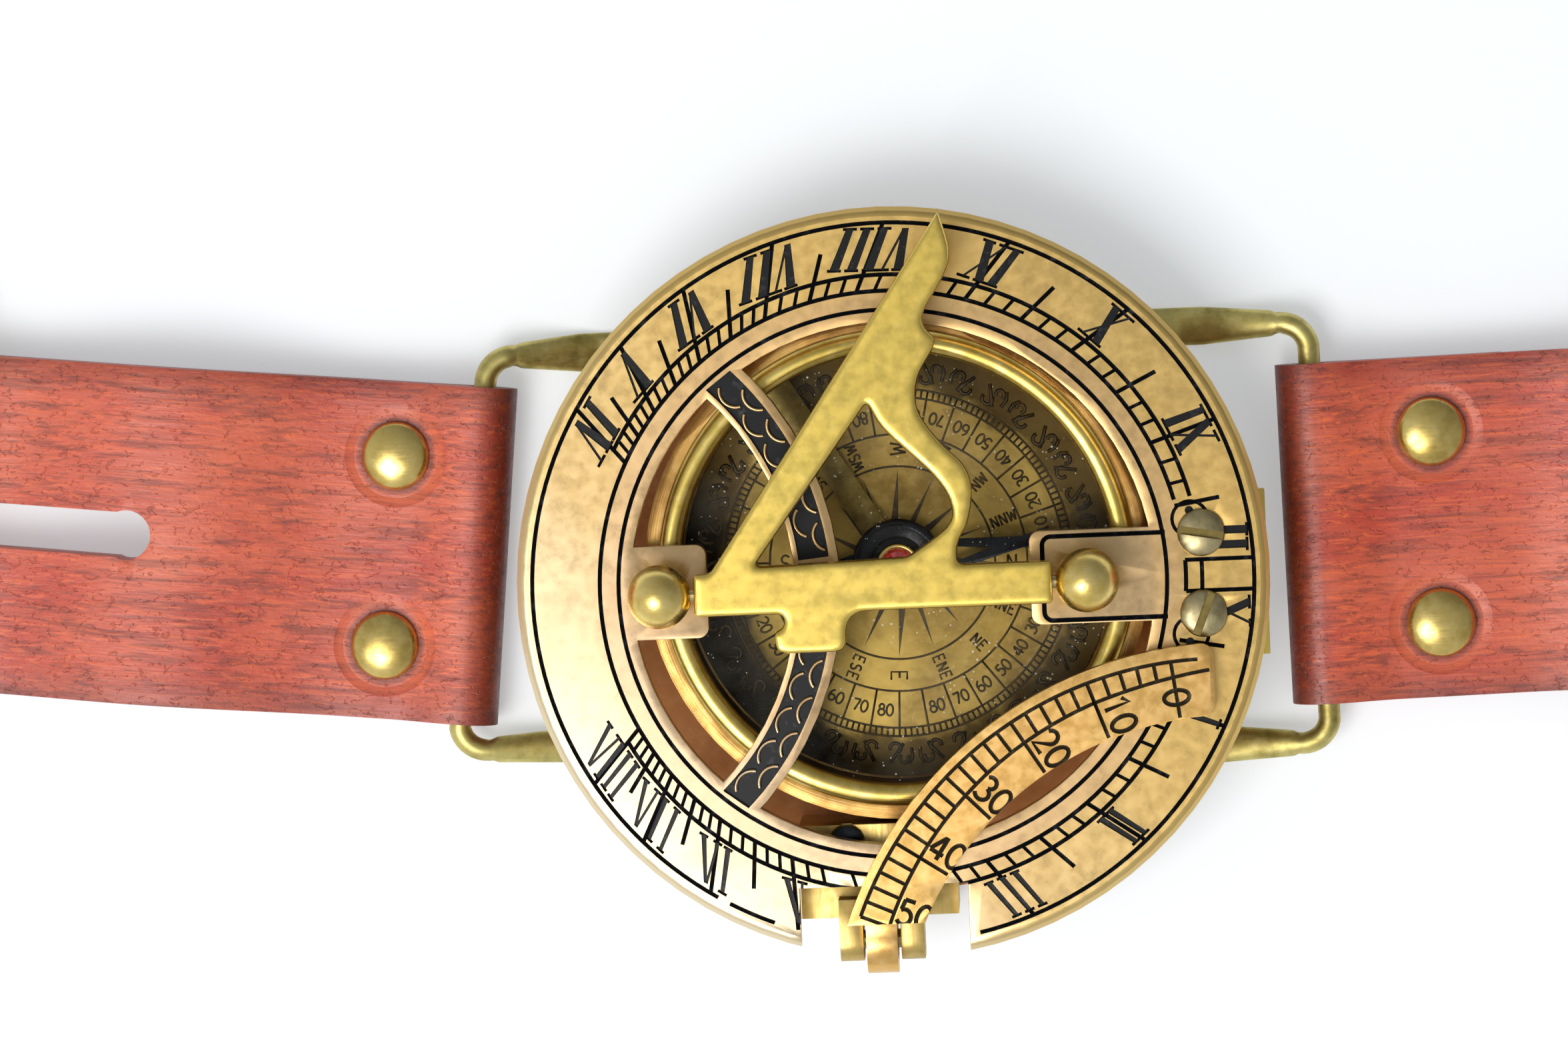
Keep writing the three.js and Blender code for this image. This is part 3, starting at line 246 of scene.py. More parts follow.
class Shade:
    # one shader socket that adds, multiplies and compares like a number
    def __init__(self, tree, socket=None):
        self.tree = tree
        self.socket = socket

    def node(self, kind, inputs=None, output=0, **settings):
        made = self.tree.nodes.new(kind)
        for key, value in settings.items():
            setattr(made, key, value)
        for key, value in (inputs or {}).items():
            if isinstance(value, Shade):
                self.tree.links.new(value.socket, made.inputs[key])
            else:
                made.inputs[key].default_value = value
        return Shade(self.tree, made.outputs[output])

    def sum(self, operation, *others, clamp=False):
        inputs = dict(enumerate((self,) + others))
        return self.node("ShaderNodeMath", inputs, operation=operation, use_clamp=clamp)

    def __add__(self, other):
        return self.sum("ADD", other)

    __radd__ = __add__

    def __sub__(self, other):
        return self.sum("SUBTRACT", other)

    def __rsub__(self, other):
        return (self * -1) + other

    def __mul__(self, other):
        return self.sum("MULTIPLY", other)

    __rmul__ = __mul__

    def __truediv__(self, other):
        return self.sum("DIVIDE", other)

    def __pow__(self, other):
        return self.sum("POWER", other)

    def __lt__(self, other):
        return self.sum("LESS_THAN", other)

    def spread(self, low, high, start=0.0, end=1.0):
        # the value moved from one range to another, and held inside it
        return self.node("ShaderNodeMapRange",
                         {"Value": self, "From Min": low, "From Max": high, "To Min": start, "To Max": end})

    def scaled(self, scale, place=(0, 0, 0), turn=(0, 0, 0)):
        inputs = {"Vector": self, "Location": place, "Rotation": turn, "Scale": scale}
        return self.node("ShaderNodeMapping", inputs)

    def noise(self, scale, detail=4.0, rough=0.55, warp=0.0):
        inputs = {"Vector": self, "Scale": scale, "Detail": detail, "Roughness": rough, "Distortion": warp}
        return self.node("ShaderNodeTexNoise", inputs)


def mixed(tree, factor, first, second):
    # a colour mix node keyed by position, since its sockets share names
    made = tree.nodes.new("ShaderNodeMix")
    made.data_type = "RGBA"
    for index, value in ((0, factor), (6, first), (7, second)):
        if isinstance(value, Shade):
            tree.links.new(value.socket, made.inputs[index])
        else:
            made.inputs[index].default_value = value
    return Shade(tree, made.outputs[2])


def startMaterial(name):
    # a new material with its tree, its shader and the piece's own coordinates
    material = bpy.data.materials.new(name)
    material.use_nodes = True
    tree = material.node_tree
    shader = tree.nodes["Principled BSDF"]
    place = Shade(tree).node("ShaderNodeTexCoord", output=3)
    return material, tree, shader, place


def link(tree, value, shader, name):
    tree.links.new(value.socket, shader.inputs[name])


def colour(red, green, blue):
    # screen values from 0 to 255 to the linear values that shaders take
    def linear(value):
        share = value / 255
        return share / 12.92 if share <= 0.04045 else ((share + 0.055) / 1.055) ** 2.4
    return (linear(red), linear(green), linear(blue), 1)


plainMetal = {
    "cloudScale": 160, "fineScale": 900, "grain": (300, 5000, 5000), "turned": None, "turnedLines": 9000,
    "tarnishFrom": 0.42, "tarnishTo": 0.68, "sheenShare": 0.35, "lineShade": 0.25, "lineDepth": 0.12,
    "bump": 0.02,
}
softTarnish = {"tarnishFrom": 0.34, "tarnishTo": 0.74}


def metalMaterial(name, changes):
    # satin metal: tarnish in patches, fine flecks of painted sheen, and hairlines along one way or round an
    # axis
    look = plainMetal | changes
    material, tree, shader, place = startMaterial(name)
    cloud = place.noise(look["cloudScale"], 5, 0.6)
    fine = place.noise(look["fineScale"], 3, 0.5)
    if look["turned"]:
        centre = look["turned"]
        parts = place.node("ShaderNodeSeparateXYZ", {"Vector": place})
        x = parts - centre[0] * mm
        y = Shade(tree, parts.socket.node.outputs[1]) - centre[1] * mm
        z = Shade(tree, parts.socket.node.outputs[2])
        radius = (x * x + y * y) ** 0.5
        pitch = look["turnedLines"]
        wound = place.node("ShaderNodeCombineXYZ", {"X": radius * pitch, "Y": z * pitch, "Z": 0.0})
        lines = wound.noise(1.0, 2, 0.5)
    else:
        lines = place.scaled(look["grain"]).noise(1.0, 3, 0.6)
    tarnish = cloud.spread(look["tarnishFrom"], look["tarnishTo"])
    base = mixed(tree, tarnish, look["colour"], look["tarnish"])
    # painted sheen: fine flecks of the lighter sheen colour
    base = mixed(tree, fine.spread(0.45, 0.75) * look["sheenShare"], base, look["sheen"])
    base = mixed(tree, lines.spread(0.55, 0.8) * look["lineShade"], base, look["tarnish"])
    link(tree, base, shader, "Base Color")
    rough = lines.spread(0.3, 0.7, look["rough"] - 0.05, look["rough"] + 0.07) + tarnish * 0.06
    link(tree, rough, shader, "Roughness")
    shader.inputs["Metallic"].default_value = 1.0
    dents = cloud * 0.35 + lines * look["lineDepth"] + fine * 0.08
    bump = place.node("ShaderNodeBump", {"Height": dents, "Distance": look["bump"] * mm, "Strength": 0.6})
    link(tree, bump, shader, "Normal")
    return material


looks = {
    "ring": {
        "colour": colour(202, 172, 116), "tarnish": colour(182, 150, 98), "sheen": colour(226, 204, 160),
        "rough": 0.27, "grain": (900, 900, 900), "cloudScale": 70, "lineDepth": 0.05, "lineShade": 0.1,
        "bump": 0.003, **softTarnish,
    },
    "gnomon": {
        "colour": colour(224, 196, 100), "tarnish": colour(218, 188, 92), "sheen": colour(240, 220, 142),
        "rough": 0.25, "grain": (700, 700, 700), "cloudScale": 60, "lineShade": 0.06, "sheenShare": 0.12,
        "bump": 0.002, **softTarnish,
    },
    "arc": {
        "colour": colour(224, 182, 108), "tarnish": colour(204, 156, 86), "sheen": colour(242, 210, 154),
        "rough": 0.25, "grain": (900, 900, 900), "cloudScale": 120, "lineShade": 0.12, "bump": 0.004,
        **softTarnish,
    },
    "polished": {
        "colour": colour(206, 182, 98), "tarnish": colour(162, 138, 62), "sheen": colour(240, 222, 154),
        "rough": 0.27, "turned": (0, 0), "lineShade": 0.3, "lineDepth": 0.3,
    },
    "base": {
        "colour": colour(200, 146, 106), "tarnish": colour(160, 108, 72), "sheen": colour(222, 176, 136),
        "rough": 0.42, "turned": (0, 0), "cloudScale": 70, "lineShade": 0.2, "lineDepth": 0.3,
    },
    "wire": {
        "colour": colour(202, 188, 116), "tarnish": colour(150, 136, 72), "sheen": colour(230, 218, 156),
        "rough": 0.42, "grain": (500, 4000, 4000), "cloudScale": 300, "lineShade": 0.15,
    },
    "screw": {
        "colour": colour(178, 164, 122), "tarnish": colour(126, 114, 84), "sheen": colour(210, 198, 156),
        "rough": 0.33, "grain": (3000, 300, 3000), "cloudScale": 500,
    },
    "block": {
        "colour": colour(190, 164, 98), "tarnish": colour(146, 120, 66), "sheen": colour(218, 194, 136),
        "rough": 0.36, "grain": (3000, 250, 3000), "cloudScale": 160, "lineShade": 0.45, "lineDepth": 0.4,
    },
    "darkSteel": {
        "colour": colour(46, 50, 56), "tarnish": colour(22, 25, 30), "sheen": colour(92, 96, 100),
        "rough": 0.4, "cloudScale": 300,
    },
}
metals = {name: metalMaterial(name + "Metal", look) for name, look in looks.items()}


def tinted(material, share, tint):
    # another colour laid over the one that the material has, by the given share
    tree = material.node_tree
    shader = tree.nodes["Principled BSDF"]
    base = Shade(tree, shader.inputs["Base Color"].links[0].from_socket)
    link(tree, mixed(tree, share, base, tint), shader, "Base Color")


def measured(material, centre):
    # x, y and the distance from a centre, in millimetres
    place = Shade(material.node_tree).node("ShaderNodeTexCoord", output=3)
    parts = place.node("ShaderNodeSeparateXYZ", {"Vector": place})
    x = parts / mm - centre[0]
    y = Shade(material.node_tree, parts.socket.node.outputs[1]) / mm - centre[1]
    return place, x, y, (x * x + y * y) ** 0.5


def inkMaterial(name, dark, grey):
    # dark fill in the engraving, worn to grey where it stands high
    material, tree, shader, place = startMaterial(name)
    worn = place.noise(900, 3, 0.6).spread(0.56, 0.8)
    link(tree, mixed(tree, worn, dark, grey), shader, "Base Color")
    link(tree, worn.spread(0, 1, 0.3, 0.42), shader, "Roughness")
    shader.inputs["Specular IOR Level"].default_value = 0.3
    bump = place.node("ShaderNodeBump", {"Height": worn, "Distance": 0.02 * mm, "Strength": 0.5})
    link(tree, bump, shader, "Normal")
    return material


def enamelMaterial():
    # blue-black lacquer on the needle
    material, tree, shader, place = startMaterial("needleLacquer")
    mottle = place.noise(700, 4, 0.6)
    base = mixed(tree, mottle.spread(0.4, 0.7), colour(6, 9, 13), colour(18, 27, 36))
    link(tree, base, shader, "Base Color")
    link(tree, mottle.spread(0.3, 0.7, 0.2, 0.36), shader, "Roughness")
    shader.inputs["Specular IOR Level"].default_value = 0.3
    bump = place.node("ShaderNodeBump", {"Height": mottle, "Distance": 0.03 * mm, "Strength": 0.6})
    link(tree, bump, shader, "Normal")
    return material


def jewelMaterial():
    # red glass with painted brighter glints
    material, tree, shader, place = startMaterial("redJewel")
    paintedGlint = place.noise(2600, 2, 0.5)
    base = mixed(tree, paintedGlint.spread(0.4, 0.66), colour(190, 8, 20), colour(255, 84, 84))
    link(tree, base, shader, "Base Color")
    link(tree, paintedGlint.spread(0.3, 0.7, 0.04, 0.12), shader, "Roughness")
    shader.inputs["IOR"].default_value = 1.75
    shader.inputs["Coat Weight"].default_value = 1.0
    shader.inputs["Coat Roughness"].default_value = 0.03
    return material


def glassMaterial():
    # clear disc with fine dust lying on it
    material, tree, shader, place = startMaterial("dustyGlass")
    cell = place.node("ShaderNodeTexVoronoi", {"Vector": place, "Scale": 1300.0})
    speck = cell < place.noise(220, 2, 0.5).spread(0.42, 0.72, 0.03, 0.16)
    film = place.noise(120, 4, 0.6).spread(0.45, 0.75, 0.0, 0.03)
    link(tree, speck * 0.6 + film, shader, "Alpha")
    link(tree, speck.spread(0, 1, 0.03, 0.7), shader, "Roughness")
    shader.inputs["Base Color"].default_value = colour(232, 228, 206)
    shader.inputs["IOR"].default_value = 1.5
    shader.inputs["Specular IOR Level"].default_value = 0.8
    return material


# pale is the colour of the painted sheen and of the painted highlight round the rivets
leatherLook = {
    "deep": colour(74, 18, 8), "body": colour(192, 62, 33), "streak": colour(236, 104, 46),
    "pale": colour(230, 116, 76), "grainScale": 2400, "bump": 0.1,
}


def leatherMaterial(name, strapPart):
    # red leather: fine threads along the strap, painted sheen in soft patches, dark edges, painted shade on
    # the folds, and pressed rings round the rivets with painted shade inside and a painted highlight on their
    # rims
    material, tree, shader, place = startMaterial(name)
    turn = math.radians(-strapPart["turn"])
    startX, startY, startZ = strapPart["place"]
    shift = (-(startX * math.cos(turn) - startY * math.sin(turn)) * mm,
             -(startX * math.sin(turn) + startY * math.cos(turn)) * mm, -startZ * mm)
    along = place.scaled((1, 1, 1), place=shift, turn=(0, 0, turn))
    parts = along.node("ShaderNodeSeparateXYZ", {"Vector": along})
    x = parts / mm
    y = (Shade(tree, parts.socket.node.outputs[1]) / mm).sum("ABSOLUTE")
    toRivet = ((x - strapPart["rivetX"]) ** 2 + (y - rivet["fromMiddle"]) ** 2) ** 0.5
    cloud = along.scaled((60, 110, 110)).noise(1.0, 4, 0.6)
    streaks = along.scaled((60, 1100, 700)).noise(1.0, 5, 0.62, 0.3)
    threads = along.scaled((190, 3000, 2200)).noise(1.0, 4, 0.62, 0.3)
    fibres = along.scaled((230, 2300, 1700), place=(3.1, 1.7, 0)).noise(1.0, 3, 0.55, 0.4)
    cracks = along.scaled((1000, 1500, 1500), place=(0, 2.3, 0)).noise(1.0, 3, 0.6, 1.2)
    fold = x.spread(5.0, 0.5)
    # painted sheen in soft patches
    base = mixed(tree, cloud.spread(0.42, 0.7) * 0.6, leatherLook["body"], leatherLook["pale"])
    base = mixed(tree, streaks.spread(0.5, 0.62) * 0.45, base, leatherLook["deep"])
    base = mixed(tree, threads.spread(0.55, 0.61) * (fold * 0.35 + 0.5), base, leatherLook["streak"])
    base = mixed(tree, fibres.spread(0.57, 0.64) * 0.34, base, leatherLook["deep"])
    base = mixed(tree, cracks.spread(0.6, 0.66) * 0.3, base, leatherLook["deep"])
    base = mixed(tree, y.spread(12.5, 16.0) * 0.4, base, leatherLook["deep"])
    # painted shade on the fold's round back
    base = mixed(tree, x.spread(0.8, -2.6) * 0.75, base, leatherLook["deep"])
    # painted shade in the pressed dip round each rivet's cap
    base = mixed(tree, toRivet.spread(4.0, 3.3) * 0.7, base, leatherLook["deep"])
    # painted highlight on the raised ring round each rivet
    base = mixed(tree, toRivet.spread(3.6, 4.1) * toRivet.spread(4.8, 4.3) * 0.35, base, leatherLook["pale"])
    link(tree, base, shader, "Base Color")
    link(tree, streaks.spread(0.3, 0.7, 0.4, 0.56), shader, "Roughness")
    shader.inputs["Coat Weight"].default_value = 0.12
    shader.inputs["Coat Roughness"].default_value = 0.38
    shader.inputs["Specular IOR Level"].default_value = 0.8
    pressed = toRivet.spread(4.0, 4.9) * 3.4
    grain = along.noise(leatherLook["grainScale"], 3, 0.6)
    height = threads * 0.5 - fibres * 0.5 - cracks.spread(0.6, 0.66) * 0.6 + grain * 0.4 + pressed
    inputs = {"Height": height, "Distance": leatherLook["bump"] * mm, "Strength": 0.75}
    bump = place.node("ShaderNodeBump", inputs)
    link(tree, bump, shader, "Normal")
    return material


ink = inkMaterial("engravingInk", colour(10, 11, 15), colour(62, 62, 66))
softInk = inkMaterial("arcInk", colour(50, 42, 30), colour(104, 92, 68))
lacquer = enamelMaterial()
redGlass = jewelMaterial()
clearGlass = glassMaterial()
print("materials made")


# Engraving strokes, in a frame of their own: x along the reading direction, y up

def bow(centreX, centreY, wide, tall, start, end, count=14):
    # part of an oval, from one angle in degrees to another
    return [(centreX + wide * math.cos(math.radians(start + (end - start) * step / count)),
             centreY + tall * math.sin(math.radians(start + (end - start) * step / count)))
            for step in range(count + 1)]


figures = {
    "0": [bow(0.3, 0.5, 0.27, 0.47, 0, 360, 20)],
    "1": [[(0.1, 0.76), (0.33, 0.97), (0.33, 0.02)]],
    "2": [bow(0.3, 0.7, 0.25, 0.27, 165, -35, 12) + [(0.06, 0.04), (0.58, 0.04)]],
    "3": [bow(0.28, 0.75, 0.23, 0.22, 150, -80, 10), bow(0.28, 0.27, 0.28, 0.25, 80, -150, 12)],
    "4": [[(0.44, 0.02), (0.44, 0.97)], [(0.4, 0.93), (0.04, 0.3)], [(0.04, 0.28), (0.6, 0.28)]],
    "5": [[(0.54, 0.95), (0.14, 0.95)], [(0.16, 0.95), (0.12, 0.56)],
          bow(0.29, 0.31, 0.27, 0.29, 132, -145, 12)],
    "6": [bow(0.46, 0.4, 0.4, 0.56, 100, 172, 8), bow(0.31, 0.29, 0.25, 0.26, 0, 360, 16)],
    "7": [[(0.05, 0.95), (0.58, 0.95)], [(0.56, 0.93), (0.24, 0.02)]],
    "8": [bow(0.3, 0.73, 0.2, 0.22, 0, 360, 14), bow(0.3, 0.27, 0.26, 0.26, 0, 360, 16)],
    "N": [[(0.06, 0), (0.06, 1)], [(0.08, 0.98), (0.56, 0.02)], [(0.58, 0), (0.58, 1)]],
    "E": [[(0.56, 1), (0.08, 1), (0.08, 0), (0.58, 0)], [(0.08, 0.52), (0.46, 0.52)]],
    "S": [bow(0.31, 0.74, 0.23, 0.24, 35, 250, 10) + bow(0.31, 0.26, 0.25, 0.25, 80, -150, 12)],
    "W": [[(0.0, 1), (0.16, 0)], [(0.17, 0.02), (0.36, 0.8)], [(0.36, 0.8), (0.55, 0.02)],
          [(0.56, 0), (0.72, 1)]],
}


def written(text, origin, reading, up, height, pitch):
    # strokes of a word as runs of plan points
    runs = []
    for index, letter in enumerate(text):
        for stroke in figures[letter]:
            runs.append([
                (origin[0] + reading[0] * (index * pitch + x * height) + up[0] * y * height,
                 origin[1] + reading[1] * (index * pitch + x * height) + up[1] * y * height)
                for x, y in stroke
            ])
    return runs


# Hour ring

dial = {
    "centre": (-0.4, -1.3), "top": 14.1, "outerLine": 33.5, "ladderOuter": 28.7, "ladderInner": 27.2,
    "openingLine": 25.45, "halfHourEnd": 31.3, "lineWidth": 0.4, "thinLine": 0.33,
    "numeralFoot": 32.95, "numeralHead": 29.2, "strokeDepth": 0.28, "edgeBevel": 0.2, "rimRadius": 34.2,
    "rimBevel": 0.3, "hairline": 0.26, "serif": 0.28, "serifReach": 0.2, "noonGap": 13, "notch": (-108, -84),
    "noonLines": (1.15, -1.75), "noonFrom": 27.15, "noonTo": 33.4,
    "noonBars": [(2.45, 2.45, 0.76), (3.8, 3.8, 0.76), (-2.95, -4.5, 0.8), (-4.9, -2.9, 0.28)],
}
# each hour: numeral, its line's place on the outer and the inner circle in degrees, stroke width, pitch
hours = [
    ("VIII", -148.3, -152.5, 0.5, 1.15), ("VII", -136.2, -141.3, 0.5, 1.45),
    ("VI", -122.7, -128.4, 0.56, 1.5), ("V", -107.5, -112.4, 0.6, 1.5), ("", -88.7, -94.3, 0, 0),
    ("III", -69.2, -73.6, 0.56, 1.3), ("II", -47.7, -50.8, 0.6, 1.15), ("I", -25.5, -26.7, 0.62, 1.2),
    ("", 0, 0, 0, 0), ("XI", 24.9, 26.4, 0.8, 1.5), ("X", 47.1, 50.2, 0.8, 1.5),
    ("IX", 68.8, 73.4, 0.86, 1.5), ("VIII", 89.1, 94.7, 0.9, 1.6), ("VII", 107.0, 113.4, 0.9, 1.65),
    ("VI", 123.0, 128.6, 0.9, 1.6), ("V", 136.5, 141.8, 0.9, 1.6), ("IV", 148.7, 153.3, 0.9, 1.6),
]


def ringPoint(radius, degrees):
    turn = math.radians(degrees)
    return (dial["centre"][0] + radius * math.cos(turn), dial["centre"][1] + radius * math.sin(turn))


def hourPoint(outer, inner, radius):
    # a point of the straight line between two places, on the outer and the ladder's inner circle
    far, near = ringPoint(dial["outerLine"], outer), ringPoint(dial["ladderInner"], inner)
    share = (dial["outerLine"] - radius) / (dial["outerLine"] - dial["ladderInner"])
    return (far[0] + (near[0] - far[0]) * share, far[1] + (near[1] - far[1]) * share)


def numeralStrokes(text, wide, pitch):
    # (foot x, head x, foot width, head width) of each heavy or thin stroke, and the serifs' places
    letters = {"I": pitch, "V": pitch * 1.55, "X": pitch * 1.55}
    x = -sum(letters[letter] for letter in text) / 2
    strokes, serifs = [], []
    for letter in text:
        middle = x + letters[letter] / 2
        if letter == "I":
            strokes.append((middle, middle, wide * 0.8, wide))
            serifs += [(middle, 0), (middle, 1)]
        if letter == "V":
            strokes.append((middle + 0.1, middle - 0.7, wide * 0.7, wide))
            strokes.append((middle + 0.2, middle + 0.8, dial["hairline"], dial["serif"]))
            serifs += [(middle - 0.7, 1), (middle + 0.8, 1)]
        if letter == "X":
            strokes.append((middle + 0.75, middle - 0.75, wide * 0.9, wide))
            strokes.append((middle - 0.8, middle + 0.8, dial["hairline"], dial["hairline"]))
            serifs += [(middle - 0.78, 1), (middle + 0.78, 1), (middle - 0.78, 0), (middle + 0.78, 0)]
        x += letters[letter]
    return strokes, serifs


def numeralPlan(outer, inner, x, share):
    # a point of a numeral: x along the circle, share 0 at its foot and 1 at its head
    radius = dial["numeralFoot"] + (dial["numeralHead"] - dial["numeralFoot"]) * share
    px, py = hourPoint(outer, inner, radius)
    turn = math.radians(outer)
    return (px - math.sin(turn) * x, py + math.cos(turn) * x)


def groove(points, width=None, closed=False):
    return tube("groove", [raised(points, dial["top"])], width or dial["lineWidth"], closed=closed)


def strokeCutter(outline):
    return plate("stroke", outline, dial["top"] - dial["strokeDepth"], dial["top"] + 0.4)


def numeralCutters(text, outer, inner, wide, pitch):
    strokes, serifs = numeralStrokes(text, wide, pitch)
    cutters = []
    for foot, head, footWidth, headWidth in strokes:
        corners = [(foot - footWidth / 2, 0), (foot + footWidth / 2, 0),
                   (head + headWidth / 2, 1), (head - headWidth / 2, 1)]
        cutters.append(strokeCutter([numeralPlan(outer, inner, x, share) for x, share in corners]))
    reach = wide / 2 + dial["serifReach"]
    for x, share in serifs:
        ends = [numeralPlan(outer, inner, x - reach, share), numeralPlan(outer, inner, x + reach, share)]
        cutters.append(groove(ends, dial["serif"]))
    return cutters


def hourLines():
    # the hour lines, the half hours and the small boxes between two circles
    cutters = []
    for near, far in zip(hours, hours[1:]):
        for step in range(6):
            share = step / 6
            outer = near[1] + (far[1] - near[1]) * share
            inner = near[2] + (far[2] - near[2]) * share
            end, width = dial["ladderOuter"] + 0.1, dial["thinLine"]
            if step == 0:
                end, width = dial["outerLine"], dial["lineWidth"]
            if step == 3:
                end, width = dial["halfHourEnd"], dial["lineWidth"]
            atNoon = abs(inner) < dial["noonGap"]
            atNotch = dial["notch"][0] < inner < dial["notch"][1]
            if atNoon or (atNotch and end > dial["ladderOuter"] + 1):
                continue
            start = dial["ladderInner"] - 0.1
            cutters.append(groove([hourPoint(outer, inner, start), hourPoint(outer, inner, end)], width))
    last = hours[-1]
    cutters.append(groove([hourPoint(last[1], last[2], dial["ladderInner"]),
                           hourPoint(last[1], last[2], dial["outerLine"])]))
    cx, cy = dial["centre"]
    for y in dial["noonLines"]:
        cutters.append(groove([(cx + dial["noonFrom"], cy + y), (cx + dial["noonTo"], cy + y)]))
    return cutters


def ringCircles():
    # the engraved circles, as radius, first and last angle of each part
    spans = [
        (dial["outerLine"], -78.2, 238.7), (dial["outerLine"], -119.2, -111.4),
        (dial["ladderInner"], 14.4, 344.5), (dial["ladderInner"], -3.7, 2.4),
        (dial["ladderOuter"], 14.2, 152.4), (dial["ladderOuter"], -151.4, -15.3),
        (dial["ladderOuter"], -3.4, 2.3),
    ]
    cutters = []
    for radius, start, end in spans:
        count = max(6, int((end - start) / 2.2))
        points = [ringPoint(radius, start + (end - start) * step / count) for step in range(count + 1)]
        cutters.append(groove(points))
    cutters.append(groove([ringPoint(dial["openingLine"], step * 2.25) for step in range(160)], closed=True))
    return cutters


# the east tab, and beside it the small rings and filled holes by the hinge screws, all from the dial's centre
tab = {
    "west": 14.0, "east": 25.4, "north": 3.8, "south": -4.0, "corner": 0.8, "lineWidth": 0.44,
    "rings": [(27.75, 4.95, 1.65), (27.5, -5.75, 1.6)], "holes": [(27.7, 5.75), (27.35, -6.45)],
    "holeRadius": 0.4,
}


def tabBorder():
    cx, cy = dial["centre"]
    west, corner = tab["west"], tab["corner"]
    outline = [(tab["east"], tab["north"])]
    outline += arcPoints((west + corner, tab["north"] - corner), corner, 90, 180, 6)
    outline += arcPoints((west + corner, tab["south"] + corner), corner, 180, 270, 6)
    outline.append((tab["east"], tab["south"]))
    cutters = [groove([(cx + x, cy + y) for x, y in outline], tab["lineWidth"])]
    for x, y, radius in tab["rings"]:
        cutters.append(groove(arcPoints((cx + x, cy + y), radius, 0, 345, 23), dial["thinLine"], True))
    for x, y in tab["holes"]:
        cutters.append(strokeCutter(arcPoints((cx + x, cy + y), tab["holeRadius"], 0, 330, 11)))
    return cutters


def noonNumeral():
    # XII, half hidden by the screws, from the place of each stroke's foot and head and its width
    cx, cy = dial["centre"]
    foot, head = dial["numeralFoot"], dial["numeralHead"]
    cutters = []
    for footY, headY, wide in dial["noonBars"]:
        cutters.append(strokeCutter([(cx + head, cy + headY - wide / 2), (cx + foot, cy + footY - wide / 2),
                                     (cx + foot, cy + footY + wide / 2), (cx + head, cy + headY + wide / 2)]))
        reach = wide / 2 + 0.25
        ends = [(cx + foot, cy + footY - reach), (cx + foot, cy + footY + reach)]
        cutters.append(groove(ends, dial["serif"]))
    return cutters


crossbar = {
    "radius": 27.3, "middle": -6.9, "recess": 2.85, "eastRim": 0.85, "westRim": 0.5, "depth": 0.55,
    "recessFrom": 5.6, "recessReach": 25.3, "bowRadius": 1.55, "bowWidth": 0.36, "bowHalfTurn": 58,
    "bowReach": 23.6, "bowLift": 0.16, "pitch": 7.3, "rows": [(0.4, 13.0), (1.85, 9.6)], "rowEnd": 44,
}


def crossbarPlace(lateral, degrees):
    # a point on the bar: lateral is its distance east of the recess's middle line
    middle = (crossbar["westRim"] - crossbar["eastRim"]) / 2
    centre = (dial["centre"][0] + crossbar["middle"] - crossbar["radius"], dial["centre"][1])
    radius = crossbar["radius"] + middle + lateral
    turn = math.radians(degrees)
    return (centre[0] + radius * math.cos(turn), centre[1] + radius * math.sin(turn))


def crossbarRecess():
    # the sunk black floor between the bar's two rims
    cx, cy = dial["centre"]
    half = crossbar["recess"] / 2
    cutters = []
    first, reach = crossbar["recessFrom"], crossbar["recessReach"]
    for side in (1, -1):
        east = [crossbarPlace(half, side * (first + step)) for step in range(52)]
        west = [crossbarPlace(-half, side * (first + step)) for step in range(52)]
        inside = [[p for p in run if math.hypot(p[0] - cx, p[1] - cy) < reach] for run in (east, west)]
        outline = inside[0] + inside[1][::-1]
        cutters.append(plate("recess", outline if side > 0 else outline[::-1],
                             dial["top"] - crossbar["depth"], dial["top"] + 0.5))
    return cutters


def crossbarScales():
    # two rows of small raised bows on the recess floor, all bulging west
    runs = []
    cx, cy = dial["centre"]
    height = dial["top"] - crossbar["depth"] + crossbar["bowLift"]
    half = crossbar["bowHalfTurn"]
    for side in (1, -1):
        for lateral, place in crossbar["rows"]:
            while place < crossbar["rowEnd"]:
                x, y = crossbarPlace(lateral, side * place)
                if math.hypot(x - cx, y - cy) < crossbar["bowReach"]:
                    facing = side * place + 180 + side * 4
                    curve = arcPoints((x, y), crossbar["bowRadius"], facing - half, facing + half, 12)
                    runs.append(raised(curve, height))
                place += crossbar["pitch"]
    return tube("crossbar_scales", runs, crossbar["bowWidth"], 2)


def rimRounded(piece, centre, radius, height, width, segments=5):
    # bevels the edges of a round plate's outer upper rim alone
    only(piece)
    bpy.ops.object.mode_set(mode="EDIT")
    bpy.ops.mesh.select_all(action="DESELECT")
    bpy.ops.object.mode_set(mode="OBJECT")
    corners = piece.data.vertices

    def onRim(index):
        place = corners[index].co / mm
        return math.hypot(place.x - centre[0], place.y - centre[1]) > radius and place.z > height

    for edge in piece.data.edges:
        edge.select = onRim(edge.vertices[0]) and onRim(edge.vertices[1])
    bpy.ops.object.mode_set(mode="EDIT")
    bpy.ops.mesh.bevel(offset=width * mm, segments=segments, profile=0.55, clamp_overlap=True)
    bpy.ops.object.mode_set(mode="OBJECT")
    return piece


